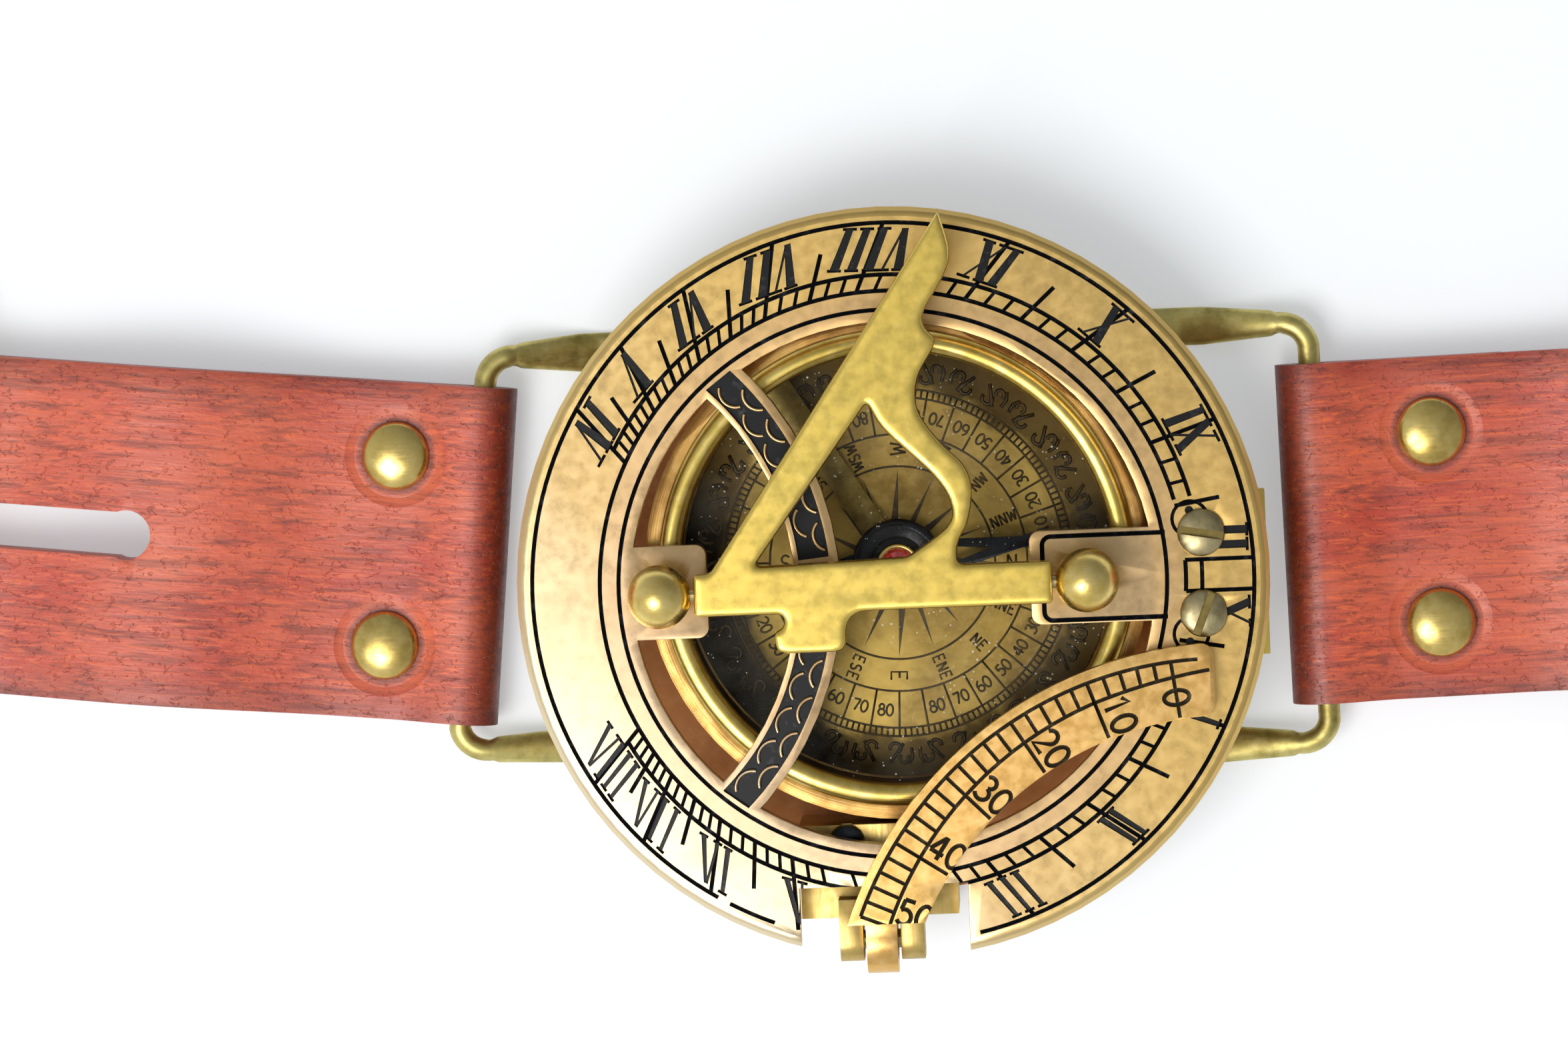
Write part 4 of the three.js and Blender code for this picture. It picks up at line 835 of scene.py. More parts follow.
# each tint: colour, share, and where it starts and where it is full, in mm or in the cloud's own values
ringTintsAndLight = {
    "rim": (colour(228, 198, 126), 0.6, 33.9, 34.9),
    # painted shade: deeper gold on the upper right, away from the window
    "upperRightShade": (colour(224, 184, 94), 0.65, -24.0, 14.0),
    # painted highlight: the window's pale glare on the lower left
    "lowerLeftHighlight": (colour(232, 216, 184), 0.75, -18.0, -44.0),
    "inner": (colour(196, 158, 126), 0.4, 28.6, 27.2),
    "tab": (colour(166, 142, 106), 0.6, 14.0, 16.0),
    "spots": (colour(166, 132, 86), 0.25, 0.52, 0.7),
}
ringCoat = {"weight": 0.7, "rough": 0.28}


def ringBands(material):
    # a paler rim, painted shade in deeper gold at the upper right, a painted highlight at the lower left, a
    # pinkish inner band, a brown east tab
    place, x, y, radius = measured(material, dial["centre"])
    cloud = place.noise(130, 4, 0.6)
    wobble = cloud * 1.2
    worn = radius + wobble
    slant = x + y + wobble * 3
    along = {"rim": worn, "upperRightShade": slant, "lowerLeftHighlight": slant, "inner": worn, "tab": x, "spots": cloud}
    for name, (tint, share, start, full) in ringTintsAndLight.items():
        cover = along[name].spread(start, full)
        if name == "tab":
            cover = cover * worn.spread(25.4, 24.6)
        if name == "spots":
            cover = cover * radius.spread(34.2, 33.8)
        tinted(material, cover * share, tint)
    shader = material.node_tree.nodes["Principled BSDF"]
    shader.inputs["Coat Weight"].default_value = ringCoat["weight"]
    shader.inputs["Coat Roughness"].default_value = ringCoat["rough"]


ringBands(metals["ring"])
hourRing = copyOf("hour_ring", "hour_ring_engraved")
bevelled(hourRing, dial["edgeBevel"], 3, 50)
rimRounded(hourRing, dial["centre"], dial["rimRadius"], dial["top"] - 0.05, dial["rimBevel"], 3)
painted(hourRing, metals["ring"], ink)
cutters = ringCircles() + hourLines() + tabBorder() + crossbarRecess() + noonNumeral()
for numeral, outer, inner, wide, pitch in hours:
    if numeral:
        cutters += numeralCutters(numeral, outer, inner, wide, pitch)
cutAway(hourRing, cutters, ink)
smoothed(hourRing, 30)
finished(hourRing, "hour_ring", "ring_brass", "hour_ring")
scales = crossbarScales()
painted(scales, metals["ring"])
smoothed(scales, 60)
finished(scales, "hour_ring", "ring_brass")
print("hour ring engraved:", len(hourRing.data.polygons), "faces")


# Latitude arc

arc = {
    "centre": (29.8, -45.7), "top": 15.9, "outer": 37.9, "innerRadius": 31.2, "outerLine": 37.0,
    "innerLine": 34.85, "zero": 97.5, "outerStart": 93.6, "innerStart": 92.0, "lineWidth": 0.36,
    "ten": 12.6, "tenLess": 0.09, "figureHeight": 2.5, "figurePitch": 1.8, "figureLift": 0.55,
    "figureGap": 0.22, "zeroFigure": 34.0, "strokeWidth": 0.42, "edgeBevel": 0.2, "rimBevel": 0.7,
}


def arcPlace(radius, degrees):
    turn = math.radians(degrees)
    return (arc["centre"][0] + radius * math.cos(turn), arc["centre"][1] + radius * math.sin(turn))


def latitudeAngle(latitude):
    # the engraved degrees draw slightly closer towards 50
    tens = latitude / 10
    return arc["zero"] + arc["ten"] * tens - arc["tenLess"] * tens * tens


def arcOuterLine(degrees):
    # the radius of the line by the outer edge, which draws in towards the zero
    return arc["outerLine"] - 0.5 * (max(0.0, 138 - degrees) / 45) ** 2


def arcInnerLine(degrees):
    # the radius of the line between the degrees and the figures, which draws out towards the zero
    if degrees < 110:
        return arc["innerLine"] + 0.6 * ((110 - degrees) / 18) ** 2
    return arc["innerLine"] - 0.014 * (degrees - 110)


def arcGroove(points, width=None, closed=False):
    return tube("groove", [raised(points, arc["top"])], width or arc["lineWidth"], closed=closed)


def arcCutters():
    # the two long lines, a line for every second degree and a figure for every tenth
    cutters = []
    last = latitudeAngle(50)
    steps = 70
    for line, first in ((arcOuterLine, arc["outerStart"]), (arcInnerLine, arc["innerStart"])):
        places = [first + (last - first) * step / steps for step in range(steps + 1)]
        cutters.append(arcGroove([arcPlace(line(degrees), degrees) for degrees in places]))
    for latitude in range(0, 51, 2):
        degrees = latitudeAngle(latitude)
        toEdge = latitude % 10 == 0 and latitude < 50
        end = arc["innerRadius"] + 0.15 if toEdge else arcInnerLine(degrees)
        cutters.append(arcGroove([arcPlace(arcOuterLine(degrees), degrees), arcPlace(end, degrees)]))
    for latitude in range(0, 51, 10):
        degrees = latitudeAngle(latitude)
        turn = math.radians(degrees)
        reading, up = (-math.cos(turn), -math.sin(turn)), (math.sin(turn), -math.cos(turn))
        start, lift = arcPlace(arcInnerLine(degrees) - arc["figureGap"], degrees), arc["figureLift"]
        if latitude == 0:
            start, lift = arcPlace(arc["zeroFigure"], degrees), -arc["figureHeight"] / 2
        origin = (start[0] + up[0] * lift, start[1] + up[1] * lift)
        for run in written(str(latitude), origin, reading, up, arc["figureHeight"], arc["figurePitch"]):
            closed = math.dist(run[0], run[-1]) < 0.01
            cutters.append(arcGroove(run[:-1] if closed else run, arc["strokeWidth"], closed))
    return cutters


latitudeArc = copyOf("latitude_arc", "latitude_arc_engraved")
rimRounded(latitudeArc, arc["centre"], arc["outer"] - 0.1, arc["top"] - 0.05, arc["rimBevel"])
bevelled(latitudeArc, arc["edgeBevel"], 3, 50)
painted(latitudeArc, metals["arc"], softInk)
cutAway(latitudeArc, arcCutters(), softInk)
smoothed(latitudeArc, 30)
finished(latitudeArc, "latitude_arc", "arc_brass", "latitude_arc")
print("arc engraved:", len(latitudeArc.data.polygons), "faces")


# Gnomon, its posts and the small hinge pieces

casting = {
    "voxel": 0.16, "smoothing": 40, "axisY": -1.3, "axisZ": 20.0, "halfThick": 1.3, "barHalf": 1.95,
    "barWest": -18.5, "barEast": 14.4, "tailEast": -4.6, "fillet": 1.7,
}


def flatBar():
    # the bar as it is cast: flat, wider than the solid's round one, and curved into the tail
    west, east, tail, fillet = casting["barWest"], casting["barEast"], casting["tailEast"], casting["fillet"]
    south, north = casting["axisY"] - casting["barHalf"], casting["axisY"] + casting["barHalf"]
    inside = tail - 0.5
    curve = arcPoints((tail + fillet, south - fillet), fillet, 180, 90, 8)
    start = [(west, south), (inside, south), (inside, south - fillet)]
    outline = start + curve + [(east, south), (east, north), (west, north)]
    bottom, top = casting["axisZ"] - casting["halfThick"], casting["axisZ"] + casting["halfThick"]
    return plate("flat_bar", outline, bottom, top)


gnomon = copyOf("gnomon", "gnomon_cast")
for vertex in gnomon.data.vertices:
    vertex.co.z = min(vertex.co.z, (casting["axisZ"] + casting["halfThick"]) * mm)
gnomon = joined("gnomon_cast", [gnomon, flatBar()])
applied(gnomon, "REMESH", mode="VOXEL", voxel_size=casting["voxel"] * mm)
applied(gnomon, "SMOOTH", factor=0.5, iterations=casting["smoothing"])
only(gnomon)
bpy.ops.object.shade_smooth()
painted(gnomon, metals["gnomon"])
finished(gnomon, "gnomon", "gnomon_brass", "gnomon")

# the turned foot is (radius, height above the ring) pairs, and the ball follows it
post = {
    "places": {"west": (-21.7, -1.3), "east": (17.6, -1.3)}, "ball": 2.95, "axis": 20.0, "neck": 1.25,
    "steps": 32,
    "foot": [(0, -1.8), (1.1, -1.8), (1.1, 0.01), (2.2, 0.01), (2.2, 0.3), (2.0, 0.5), (1.45, 0.8),
             (1.25, 1.2), (1.25, 2.7)],
}


def aboveRing(profile):
    return [(radius, dial["top"] + height) for radius, height in profile]


def ballPost(name, x, y, node):
    profile = aboveRing(post["foot"])
    start = math.asin(post["neck"] / post["ball"])
    for step in range(post["steps"] + 1):
        turn = start + (math.pi - start) * step / post["steps"]
        radius = post["ball"] * math.sin(turn) if step < post["steps"] else 0
        profile.append((radius, post["axis"] - post["ball"] * math.cos(turn)))
    piece = turned(name, profile, (x, y, 0), 72, 40)
    painted(piece, metals["gnomonBall"])
    return finished(piece, "hour_ring", "gnomon_brass", node)


metals["gnomonBall"] = metalMaterial("ballMetal", {
    "colour": colour(234, 208, 128), "tarnish": colour(204, 176, 92), "sheen": colour(248, 232, 170),
    "rough": 0.24, "cloudScale": 260, "lineShade": 0.1, "lineDepth": 0.02,
})
for side, (x, y) in post["places"].items():
    ballPost(f"ball_post_{side}_turned", x, y, f"ball_post_{side}")

smallBrass = {
    "hinge_upper_leaf": ("gnomon", 0.25, "hour_ring"), "hinge_lower_leaf": ("gnomon", 0.2, "case"),
    "arc_block": ("block", 0.16, "case"),
}
for node, (metal, bevel, body) in smallBrass.items():
    piece = copyOf(node, node + "_finished")
    bevelled(piece, bevel, 2)
    painted(piece, metals[metal])
    finished(piece, body, "gnomon_brass", node)

# below its domed crown the screw is (radius, height above the ring) pairs
hingeScrew = {
    "places": {"north": (28.3, 2.35, -10), "south": (28.3, -5.15, 68)}, "head": 2.2, "height": 1.1,
    "rim": 0.36, "slot": 0.75, "slotDepth": 0.5, "slotBevel": 0.05, "steps": 12,
    "side": [(0, -3.0), (1.1, -3.0), (1.1, 0.01), (2.08, 0.01), (2.2, 0.14), (2.2, 0.36)],
}


def slottedScrew(name, x, y, turn, node):
    # a domed head with a slot, turned by the given degrees
    profile = aboveRing(hingeScrew["side"])
    top, head, rim = dial["top"], hingeScrew["head"], hingeScrew["rim"]
    crown = hingeScrew["height"] - rim
    for step in range(1, hingeScrew["steps"] + 1):
        angle = math.pi / 2 * step / hingeScrew["steps"]
        radius = head * math.cos(angle) if step < hingeScrew["steps"] else 0
        profile.append((radius, top + rim + crown * math.sin(angle)))
    piece = turned(name, profile, (x, y, 0), 64, 40)
    half = hingeScrew["slot"] / 2
    long = head + 1
    spin = math.radians(turn)
    corners = [(-long, -half), (long, -half), (long, half), (-long, half)]
    outline = [(x + a * math.cos(spin) - b * math.sin(spin), y + a * math.sin(spin) + b * math.cos(spin))
               for a, b in corners]
    floor = top + hingeScrew["height"] - hingeScrew["slotDepth"]
    painted(piece, metals["screw"], metals["slot"])
    cutAway(piece, [plate("slot", outline, floor, top + 3)], metals["slot"])
    bevelled(piece, hingeScrew["slotBevel"], 1, 50)
    return finished(piece, "hour_ring", "nickel_screw", node)


metals["slot"] = metalMaterial("slotMetal", {
    "colour": colour(128, 112, 66), "tarnish": colour(64, 56, 36), "sheen": colour(196, 172, 92),
    "rough": 0.4, "cloudScale": 900, "grain": (1200, 1200, 1200),
})
for side, (x, y, turn) in hingeScrew["places"].items():
    slottedScrew(f"hinge_screw_{side}_turned", x, y, turn, f"hinge_screw_{side}")

for node in ("gnomon_pin_west", "gnomon_pin_east", "hinge_pin", "arc_pin", "lifter_pin", "needle_pivot"):
    painted(nodes[node], metals["screw"])
blockScrew = copyOf("block_screw", "block_screw_finished")
bevelled(blockScrew, 0.12, 2)
painted(blockScrew, metals["darkSteel"])
finished(blockScrew, "case", "dark_steel", "block_screw")
print("gnomon, posts and hinge done")


# Compass case

case = {
    "bezelInner": 20.2, "bezelOuter": 22.3, "bezelFoot": 0.35, "bezelCrown": 0.75, "bowlTop": 10.6,
    "bowlBevel": 0.15, "discBevel": 0.3, "glassRadius": 21.6, "glassBottom": 9.4, "glassTop": 10.45,
    "glassEdge": 0.25,
}
bezelProfile = [(case["bezelInner"], case["bowlTop"])]
middle = (case["bezelInner"] + case["bezelOuter"]) / 2
halfWidth = (case["bezelOuter"] - case["bezelInner"]) / 2
for step in range(17):
    turn = math.pi - math.pi * step / 16
    height = case["bowlTop"] + case["bezelFoot"] + case["bezelCrown"] * math.sin(turn)
    bezelProfile.append((middle + halfWidth * math.cos(turn), height))
bezelProfile += [(case["bezelOuter"], case["bowlTop"]), (case["bezelInner"], case["bowlTop"])]
bezelRing = turned("bezel_ring_turned", bezelProfile, steps=160, angle=50)
painted(bezelRing, metals["polished"])
finished(bezelRing, "case", "polished_brass", "bezel_ring")

metals["bowl"] = metalMaterial("bowlMetal", {
    "colour": colour(188, 148, 84), "tarnish": colour(140, 100, 52), "sheen": colour(220, 186, 122),
    "rough": 0.3, "turned": (0, 0), "lineShade": 0.5, "lineDepth": 0.6, "bump": 0.05,
})
caseBowl = copyOf("case_bowl", "case_bowl_turned")
bevelled(caseBowl, case["bowlBevel"], 2)
painted(caseBowl, metals["bowl"])
finished(caseBowl, "case", "polished_brass", "case_bowl")

baseDisc = copyOf("base_disc", "base_disc_turned")
bevelled(baseDisc, case["discBevel"], 3)
painted(baseDisc, metals["base"])
finished(baseDisc, "case", "base_brass", "base_disc")

rim, low, high, edge = case["glassRadius"], case["glassBottom"], case["glassTop"], case["glassEdge"]
glassProfile = [(0, low), (rim - edge, low), (rim, low + edge), (rim, high - edge), (rim - edge, high),
                (0, high)]
glassDisc = turned("glass_disc", glassProfile, steps=128)
painted(glassDisc, clearGlass)
finished(glassDisc, "case", "clear_glass", "glass")

metals["card"] = metalMaterial("cardMetal", {
    "colour": colour(170, 144, 76), "tarnish": colour(116, 94, 50), "sheen": colour(190, 166, 100),
    "rough": 0.4, "cloudScale": 110, "grain": (700, 700, 700), "tarnishFrom": 0.4,
})
# colour, share, and where the dark starts and is full, in mm from the middle
cardDarkAndShadow = {
    "rim": (colour(52, 40, 26), 0.82, 18.2, 19.6),
    # painted shadow of the ring on the card's west and south-west
    "west": (colour(20, 20, 22), 0.95, 11.5, 17.0),
}
cardFill = {"ink": colour(52, 44, 28), "faded": colour(92, 76, 44)}


def darkenedRim(material):
    # the card is stippled dark behind its scrolls, and a painted shadow of the ring darkens its west and
    # south-west
    place, x, y, radius = measured(material, (0, 0))
    cloud = place.noise(260, 4, 0.6) * 5
    along = {"rim": radius, "west": x * -0.8 + y * -0.45}
    for name, (tint, share, start, full) in cardDarkAndShadow.items():
        tinted(material, (along[name] + cloud).spread(start, full) * share, tint)


darkenedRim(metals["card"])
painted(nodes["compass_card"], metals["card"])


def cardInk():
    # brown-black fill of the card's engraving, faded in places
    material, tree, shader, place = startMaterial("cardInk")
    fade = place.noise(500, 4, 0.6)
    base = mixed(tree, fade.spread(0.4, 0.7), cardFill["ink"], cardFill["faded"])
    link(tree, base, shader, "Base Color")
    link(tree, fade.spread(0.3, 0.7, 0.4, 0.6), shader, "Roughness")
    shader.inputs["Metallic"].default_value = 0.3
    return material


card = {
    "top": 3.3, "turn": -2.0, "roseFrom": 1.6, "rose": 9.15, "letters": 12.2, "numbers": 15.7, "ticks": 16.5,
    "scrollInner": 16.9, "scrollOuter": 19.3, "line": 0.2, "scroll": 0.36,
    "letterMiddle": 10.7, "bigLetter": (1.5, 1.5), "smallLetter": (1.05, 0.86),
    "figureFoot": 14.6, "figureTurn": 4.6, "figureHeight": 1.15, "figurePitch": 0.78, "figureHalf": 0.36,
    "rosePoints": [(4, 0, 9.0, 2.4, 22.5), (4, 45, 7.9, 2.6, 22.5), (8, 22.5, 8.6, 3.2, 11.25)],
}
etched = cardInk()


def cardPoint(radius, degrees):
    turn = math.radians(degrees + card["turn"])
    return (radius * math.cos(turn), radius * math.sin(turn))


def cardTicks():
    # a line for every tenth degree between two circles and for every second one in the outer band
    runs = []
    for step in range(36):
        runs.append([cardPoint(card["letters"], step * 10), cardPoint(card["numbers"], step * 10)])
    for step in range(180):
        runs.append([cardPoint(card["numbers"], step * 2), cardPoint(card["ticks"], step * 2)])
    return runs


def cardLetters():
    # the sixteen winds, read outwards, clockwise from N, which points along X
    runs = []
    winds = "N NNE NE ENE E ESE SE SSE S SSW SW WSW W WNW NW NNW".split()
    for index, name in enumerate(winds):
        turn = math.radians(-index * 22.5 + card["turn"])
        out, side = (math.cos(turn), math.sin(turn)), (-math.sin(turn), math.cos(turn))
        height, pitch = card["bigLetter"] if len(name) == 1 else card["smallLetter"]
        length = pitch * len(name) - (pitch - height * 0.6)
        start = card["letterMiddle"] - length / 2
        origin = (out[0] * start - side[0] * height / 2, out[1] * start - side[1] * height / 2)
        runs += written(name, origin, out, side, height, pitch)
    return runs


def cardFigures():
    # degrees from 10 to 80 in each quarter, their heads towards the middle
    runs = []
    for index in range(36):
        half = index % 18
        value = (half if half <= 9 else 18 - half) * 10
        if value in (0, 90):
            continue
        word = str(value)
        turn = math.radians(-index * 10 + card["figureTurn"] + card["turn"])
        reading, up = (-math.sin(turn), math.cos(turn)), (-math.cos(turn), -math.sin(turn))
        foot, shift = card["figureFoot"], -card["figureHalf"] * len(word)
        origin = (foot * math.cos(turn) + reading[0] * shift, foot * math.sin(turn) + reading[1] * shift)
        runs += written(word, origin, reading, up, card["figureHeight"], card["figurePitch"])
    return runs


def cardScrolls():
    # the scrolled border: two hooks and two leaves at every tenth degree, each second group mirrored
    runs = []
    hooks = [bow(0.45, 0.5, 0.42, 0.42, 230, -40, 8), bow(-0.4, -0.45, 0.52, 0.5, 50, -200, 9),
             [(0.9, 1.0), (1.25, 0.35), (1.1, -0.5)], [(-0.9, 0.9), (-0.3, 0.1), (0.35, -0.9)]]
    for index in range(36):
        flip = 1 if index % 2 else -1
        middleX, middleY = cardPoint((card["scrollInner"] + card["scrollOuter"]) / 2, index * 10)
        turn = math.radians(index * 10 + card["turn"])
        for hook in hooks:
            runs.append([(middleX + math.cos(turn) * y - math.sin(turn) * x * flip,
                          middleY + math.sin(turn) * y + math.cos(turn) * x * flip) for x, y in hook])
    return runs


def cardLines():
    height = card["top"] + 0.005
    circles = [[cardPoint(card[name], step * 3) for step in range(120)]
               for name in ("rose", "letters", "numbers", "ticks")]
    words = cardTicks() + cardLetters() + cardFigures()
    rings = tube("card_circles", [raised(points, height) for points in circles], card["line"], closed=True)
    lines = tube("card_lines", [raised(points, height) for points in words], card["line"])
    curls = tube("card_curls", [raised(points, height) for points in cardScrolls()], card["scroll"])
    return joined("card_engraving", [rings, lines, curls])


def roseStar():
    # the dark half of each of sixteen thin points, laid on the card, the four main ones on top
    # each set: how many, the first one's angle, their reach, and the radius and the turn of their root
    halves = []
    for order, (count, first, reach, root, rootTurn) in enumerate(card["rosePoints"]):
        top = card["top"] + 0.024 - 0.006 * order
        for index in range(count):
            degrees = first + index * 360 / count
            outline = [cardPoint(card["roseFrom"], degrees), cardPoint(reach, degrees),
                       cardPoint(root, degrees + rootTurn)]
            halves.append(plate("half", outline, card["top"] - 0.05, top))
    return joined("card_rose", halves)


cardEngraving = cardLines()
painted(cardEngraving, etched)
finished(cardEngraving, "case", "dark_steel")
rose = roseStar()
painted(rose, etched)
finished(rose, "case", "dark_steel")
print("case and card done")


# Needle and lifter

needle = copyOf("compass_needle", "compass_needle_finished")
bevelled(needle, 0.14, 2)
painted(needle, lacquer)
finished(needle, "needle", "dark_steel", "compass_needle")
# the needle's turned pieces as (radius, height) pairs
hub = {
    "boss": [(2.5, 5.55), (4.15, 5.55), (4.3, 5.75), (4.2, 6.0), (3.9, 6.12), (3.5, 6.0), (3.3, 5.85),
             (2.7, 5.8), (2.5, 5.7), (2.5, 5.55)],
    "cap": [(1.05, 5.6), (2.0, 5.6), (2.0, 6.55), (1.92, 6.75), (1.8, 6.8), (1.7, 6.75), (1.65, 6.5),
            (1.05, 6.45), (1.05, 5.6)],
    "jewel": [(0, 6.5), (1.58, 6.5), (1.6, 6.78), (1.3, 7.1), (0.85, 7.36), (0, 7.4)],
}
boss = turned("needle_boss_ring", hub["boss"], steps=72, angle=60)
painted(boss, lacquer)
finished(boss, "needle", "dark_steel")
cap = turned("needle_cap_turned", hub["cap"], steps=64, angle=50)
painted(cap, metals["gnomonBall"])
finished(cap, "needle", "arc_brass", "needle_cap")
jewel = turned("needle_jewel_cut", hub["jewel"], steps=12, angle=10)
painted(jewel, redGlass)
finished(jewel, "needle", "red_jewel", "needle_jewel")
lifter = copyOf("needle_lifter", "needle_lifter_finished")
bevelled(lifter, 0.1, 2)
# darker brass as painted shade, since the lifter lies in shadow under the glass
metals["lifter"] = metalMaterial("lifterShadedMetal", {
    "colour": colour(128, 112, 64), "tarnish": colour(84, 72, 40), "sheen": colour(160, 144, 92),
    "rough": 0.42, "cloudScale": 300,
})
painted(lifter, metals["lifter"])
finished(lifter, "needle_lifter", "wire_brass", "needle_lifter")
print("needle done")


# Wire loops

wire = {
    "radius": 1.05, "barZ": 3.6, "corner": 2.6, "cornerDrop": 0.45, "bladeInner": 18.6, "bladeOuter": 29.6,
    "bladeHalf": 1.8, "bladeThick": 0.5, "neckHalf": 1.25, "neckLength": 0.9, "riseBefore": 2,
}


def bladeShare(x, shoulder):
    # 1 on the flat blade, 0 on the round wire
    return max(0.0, min(1.0, (shoulder - x) / (shoulder - wire["bladeOuter"])))


def bladeHalfWidth(x, shoulder):
    # tapers to a neck, then steps in to the wire
    neck = shoulder - wire["neckLength"]
    if x < neck:
        way = max(0.0, (x - wire["bladeOuter"]) / (neck - wire["bladeOuter"]))
        return wire["bladeHalf"] + (wire["neckHalf"] - wire["bladeHalf"]) * way
    way = min(1.0, (x - neck) / wire["neckLength"])
    return wire["neckHalf"] + (wire["radius"] * 0.9 - wire["neckHalf"]) * eased(way)


def wireLoop(name, loop, node):
    # a loop with two blades, made towards the east; a flipped one is turned to the west
    lean = math.tan(math.radians(loop["slant"]))
    half = loop["half"]
    sideX = {side: loop["reach"] - lean * side * half for side in (1, -1)}

    def sideHeight(side, x):
        first = wire["bladeOuter"] - wire["riseBefore"]
        rise = max(0.0, (x - first) / (sideX[side] - first))
        return wire["radius"] + (wire["barZ"] - wire["radius"]) * rise

    def sideRun(side):
        first, last = wire["bladeInner"], sideX[side] - wire["corner"]
        places = [first + (last - first) * step / 47 for step in range(48)]
        return [(x, side * half, sideHeight(side, x)) for x in places]

    def cornerRun(side):
        points = []
        for step in range(1, 10):
            turn = math.pi / 2 * step / 10
            points.append((sideX[side] - wire["corner"] * (1 - math.sin(turn)),
                           side * (half - wire["corner"] * (1 - math.cos(turn))),
                           wire["barZ"] - wire["cornerDrop"] * (1 - math.sin(turn))))
        return points

    south, north = sideRun(-1), sideRun(1)
    run = south + cornerRun(-1) + list(reversed(cornerRun(1))) + list(reversed(north))
    piece = tube(name, [run], wire["radius"] * 2, 6)
    for vertex in piece.data.vertices:
        x = vertex.co.x / mm
        side = 1 if vertex.co.y > 0 else -1
        if x > sideX[side] - wire["corner"] or abs(abs(vertex.co.y / mm) - half) > wire["radius"] * 1.05:
            continue
        shoulder = sideX[side] - wire["corner"] - 0.1
        share = bladeShare(x, shoulder)
        middle = sideHeight(side, x)
        y = vertex.co.y / mm - side * half
        z = vertex.co.z / mm - middle
        thin = 1 + (wire["bladeThick"] / wire["radius"] - 1) * share
        vertex.co.y = (side * half + y * bladeHalfWidth(x, shoulder) / wire["radius"]) * mm
        vertex.co.z = (middle + (wire["bladeThick"] - wire["radius"]) * share + z * thin) * mm
    if loop["flip"]:
        for vertex in piece.data.vertices:
            vertex.co.x, vertex.co.y = -vertex.co.x, -vertex.co.y
    for vertex in piece.data.vertices:
        vertex.co.y += loop["centreY"] * mm
    cleaned(piece)
    smoothed(piece, 60)
    painted(piece, metals["wire"])
    return finished(piece, "case", "wire_brass", node)


eastLoop = {"reach": 39.8, "slant": 1, "half": 19.9, "centreY": 1.3, "flip": False}
westLoop = {"reach": 40.4, "slant": -6, "half": 18.7, "centreY": 2.4, "flip": True}
wireLoop("wire_loop_east_hammered", eastLoop, "wire_loop_east")
wireLoop("wire_loop_west_hammered", westLoop, "wire_loop_west")
print("wire loops done")


# Straps

strap = {
    "half": 16.0, "leather": 2.0, "eye": 3.35, "bore": 1.35, "foldReach": 7.0, "edge": 0.5, "waviness": 0.07,
    "across": 14,
}
rivet = {
    "cap": 3.25, "capEdge": 0.3, "capHeight": 1.7, "shank": 1.5, "shankFrom": 0.3, "back": 3.0,
    "backEdge": 0.2, "backHeight": 0.6, "fromMiddle": 9.0, "steps": 10,
}


def strapSolid(name, outline):
    # a side outline closed into a face and drawn out over the width in equal steps
    only()
    bpy.ops.mesh.primitive_circle_add(vertices=len(outline), radius=mm, fill_type="NGON")
    piece = bpy.context.active_object
    piece.name = name
    for vertex, (x, z) in zip(piece.data.vertices, outline):
        vertex.co = (x * mm, -strap["half"] * mm, z * mm)
    only(piece)
    bpy.ops.object.mode_set(mode="EDIT")
    bpy.ops.mesh.select_all(action="SELECT")
    for step in range(strap["across"]):
        bpy.ops.mesh.extrude_region_move(
            TRANSFORM_OT_translate={"value": (0, 2 * strap["half"] * mm / strap["across"], 0)})
    bpy.ops.object.mode_set(mode="OBJECT")
    cleaned(piece)
    return piece


def placed(piece, place, turn):
    piece.location = Vector(place) * mm
    piece.rotation_euler = (0, 0, math.radians(turn))
    return settled(piece)


westStrap = {
    "length": 51.0, "rise": 2.5, "rivetX": 7.6, "slotWidth": 4.2, "slotLength": 18.5, "slotEnd": 2.35,
    "place": (-40.4, 2.4, 3.6), "turn": 174, "waves": 3,
}
eastStrap = {
    "length": 112.0, "rise": 3.4, "flap": 18.0, "crest": 36.0, "land": 78.0, "rivetX": 10.8, "tip": 14.0,
    "place": (39.8, 1.3, 3.6), "turn": 1, "holes": [96, 87, 78, 69, 60], "holeRadius": 1.5, "waves": 5,
}


def westArch(x):
    # the height of the west strap's single wave, between its rivets and its far fold
    start = westStrap["rivetX"] + rivet["cap"] + 0.3
    end = westStrap["length"] - strap["eye"]
    if x <= start or x >= end:
        return 0
    return westStrap["rise"] / 2 * (1 - math.cos(2 * math.pi * (x - start) / (end - start)))


def eyeArc(x, start, end, count):
    # the round back of a fold
    points = []
    for step in range(count + 1):
        turn = math.radians(start + (end - start) * step / count)
        points.append((x + strap["eye"] * math.cos(turn), strap["eye"] * math.sin(turn)))
    return points


def eyelet(x):
    return plate("eyelet", arcPoints((x, 0), eastStrap["holeRadius"], 0, 360 - 360 / 28, 27), -12, 12)


def barHole(x, half):
    # a bore along Y through the strap's eye
    only()
    bpy.ops.mesh.primitive_cylinder_add(vertices=32, radius=strap["bore"] * mm, depth=2 * half * mm)
    bore = bpy.context.active_object
    bore.rotation_euler = (math.pi / 2, 0, 0)
    bore.location = (x * mm, 0, 0)
    return settled(bore)


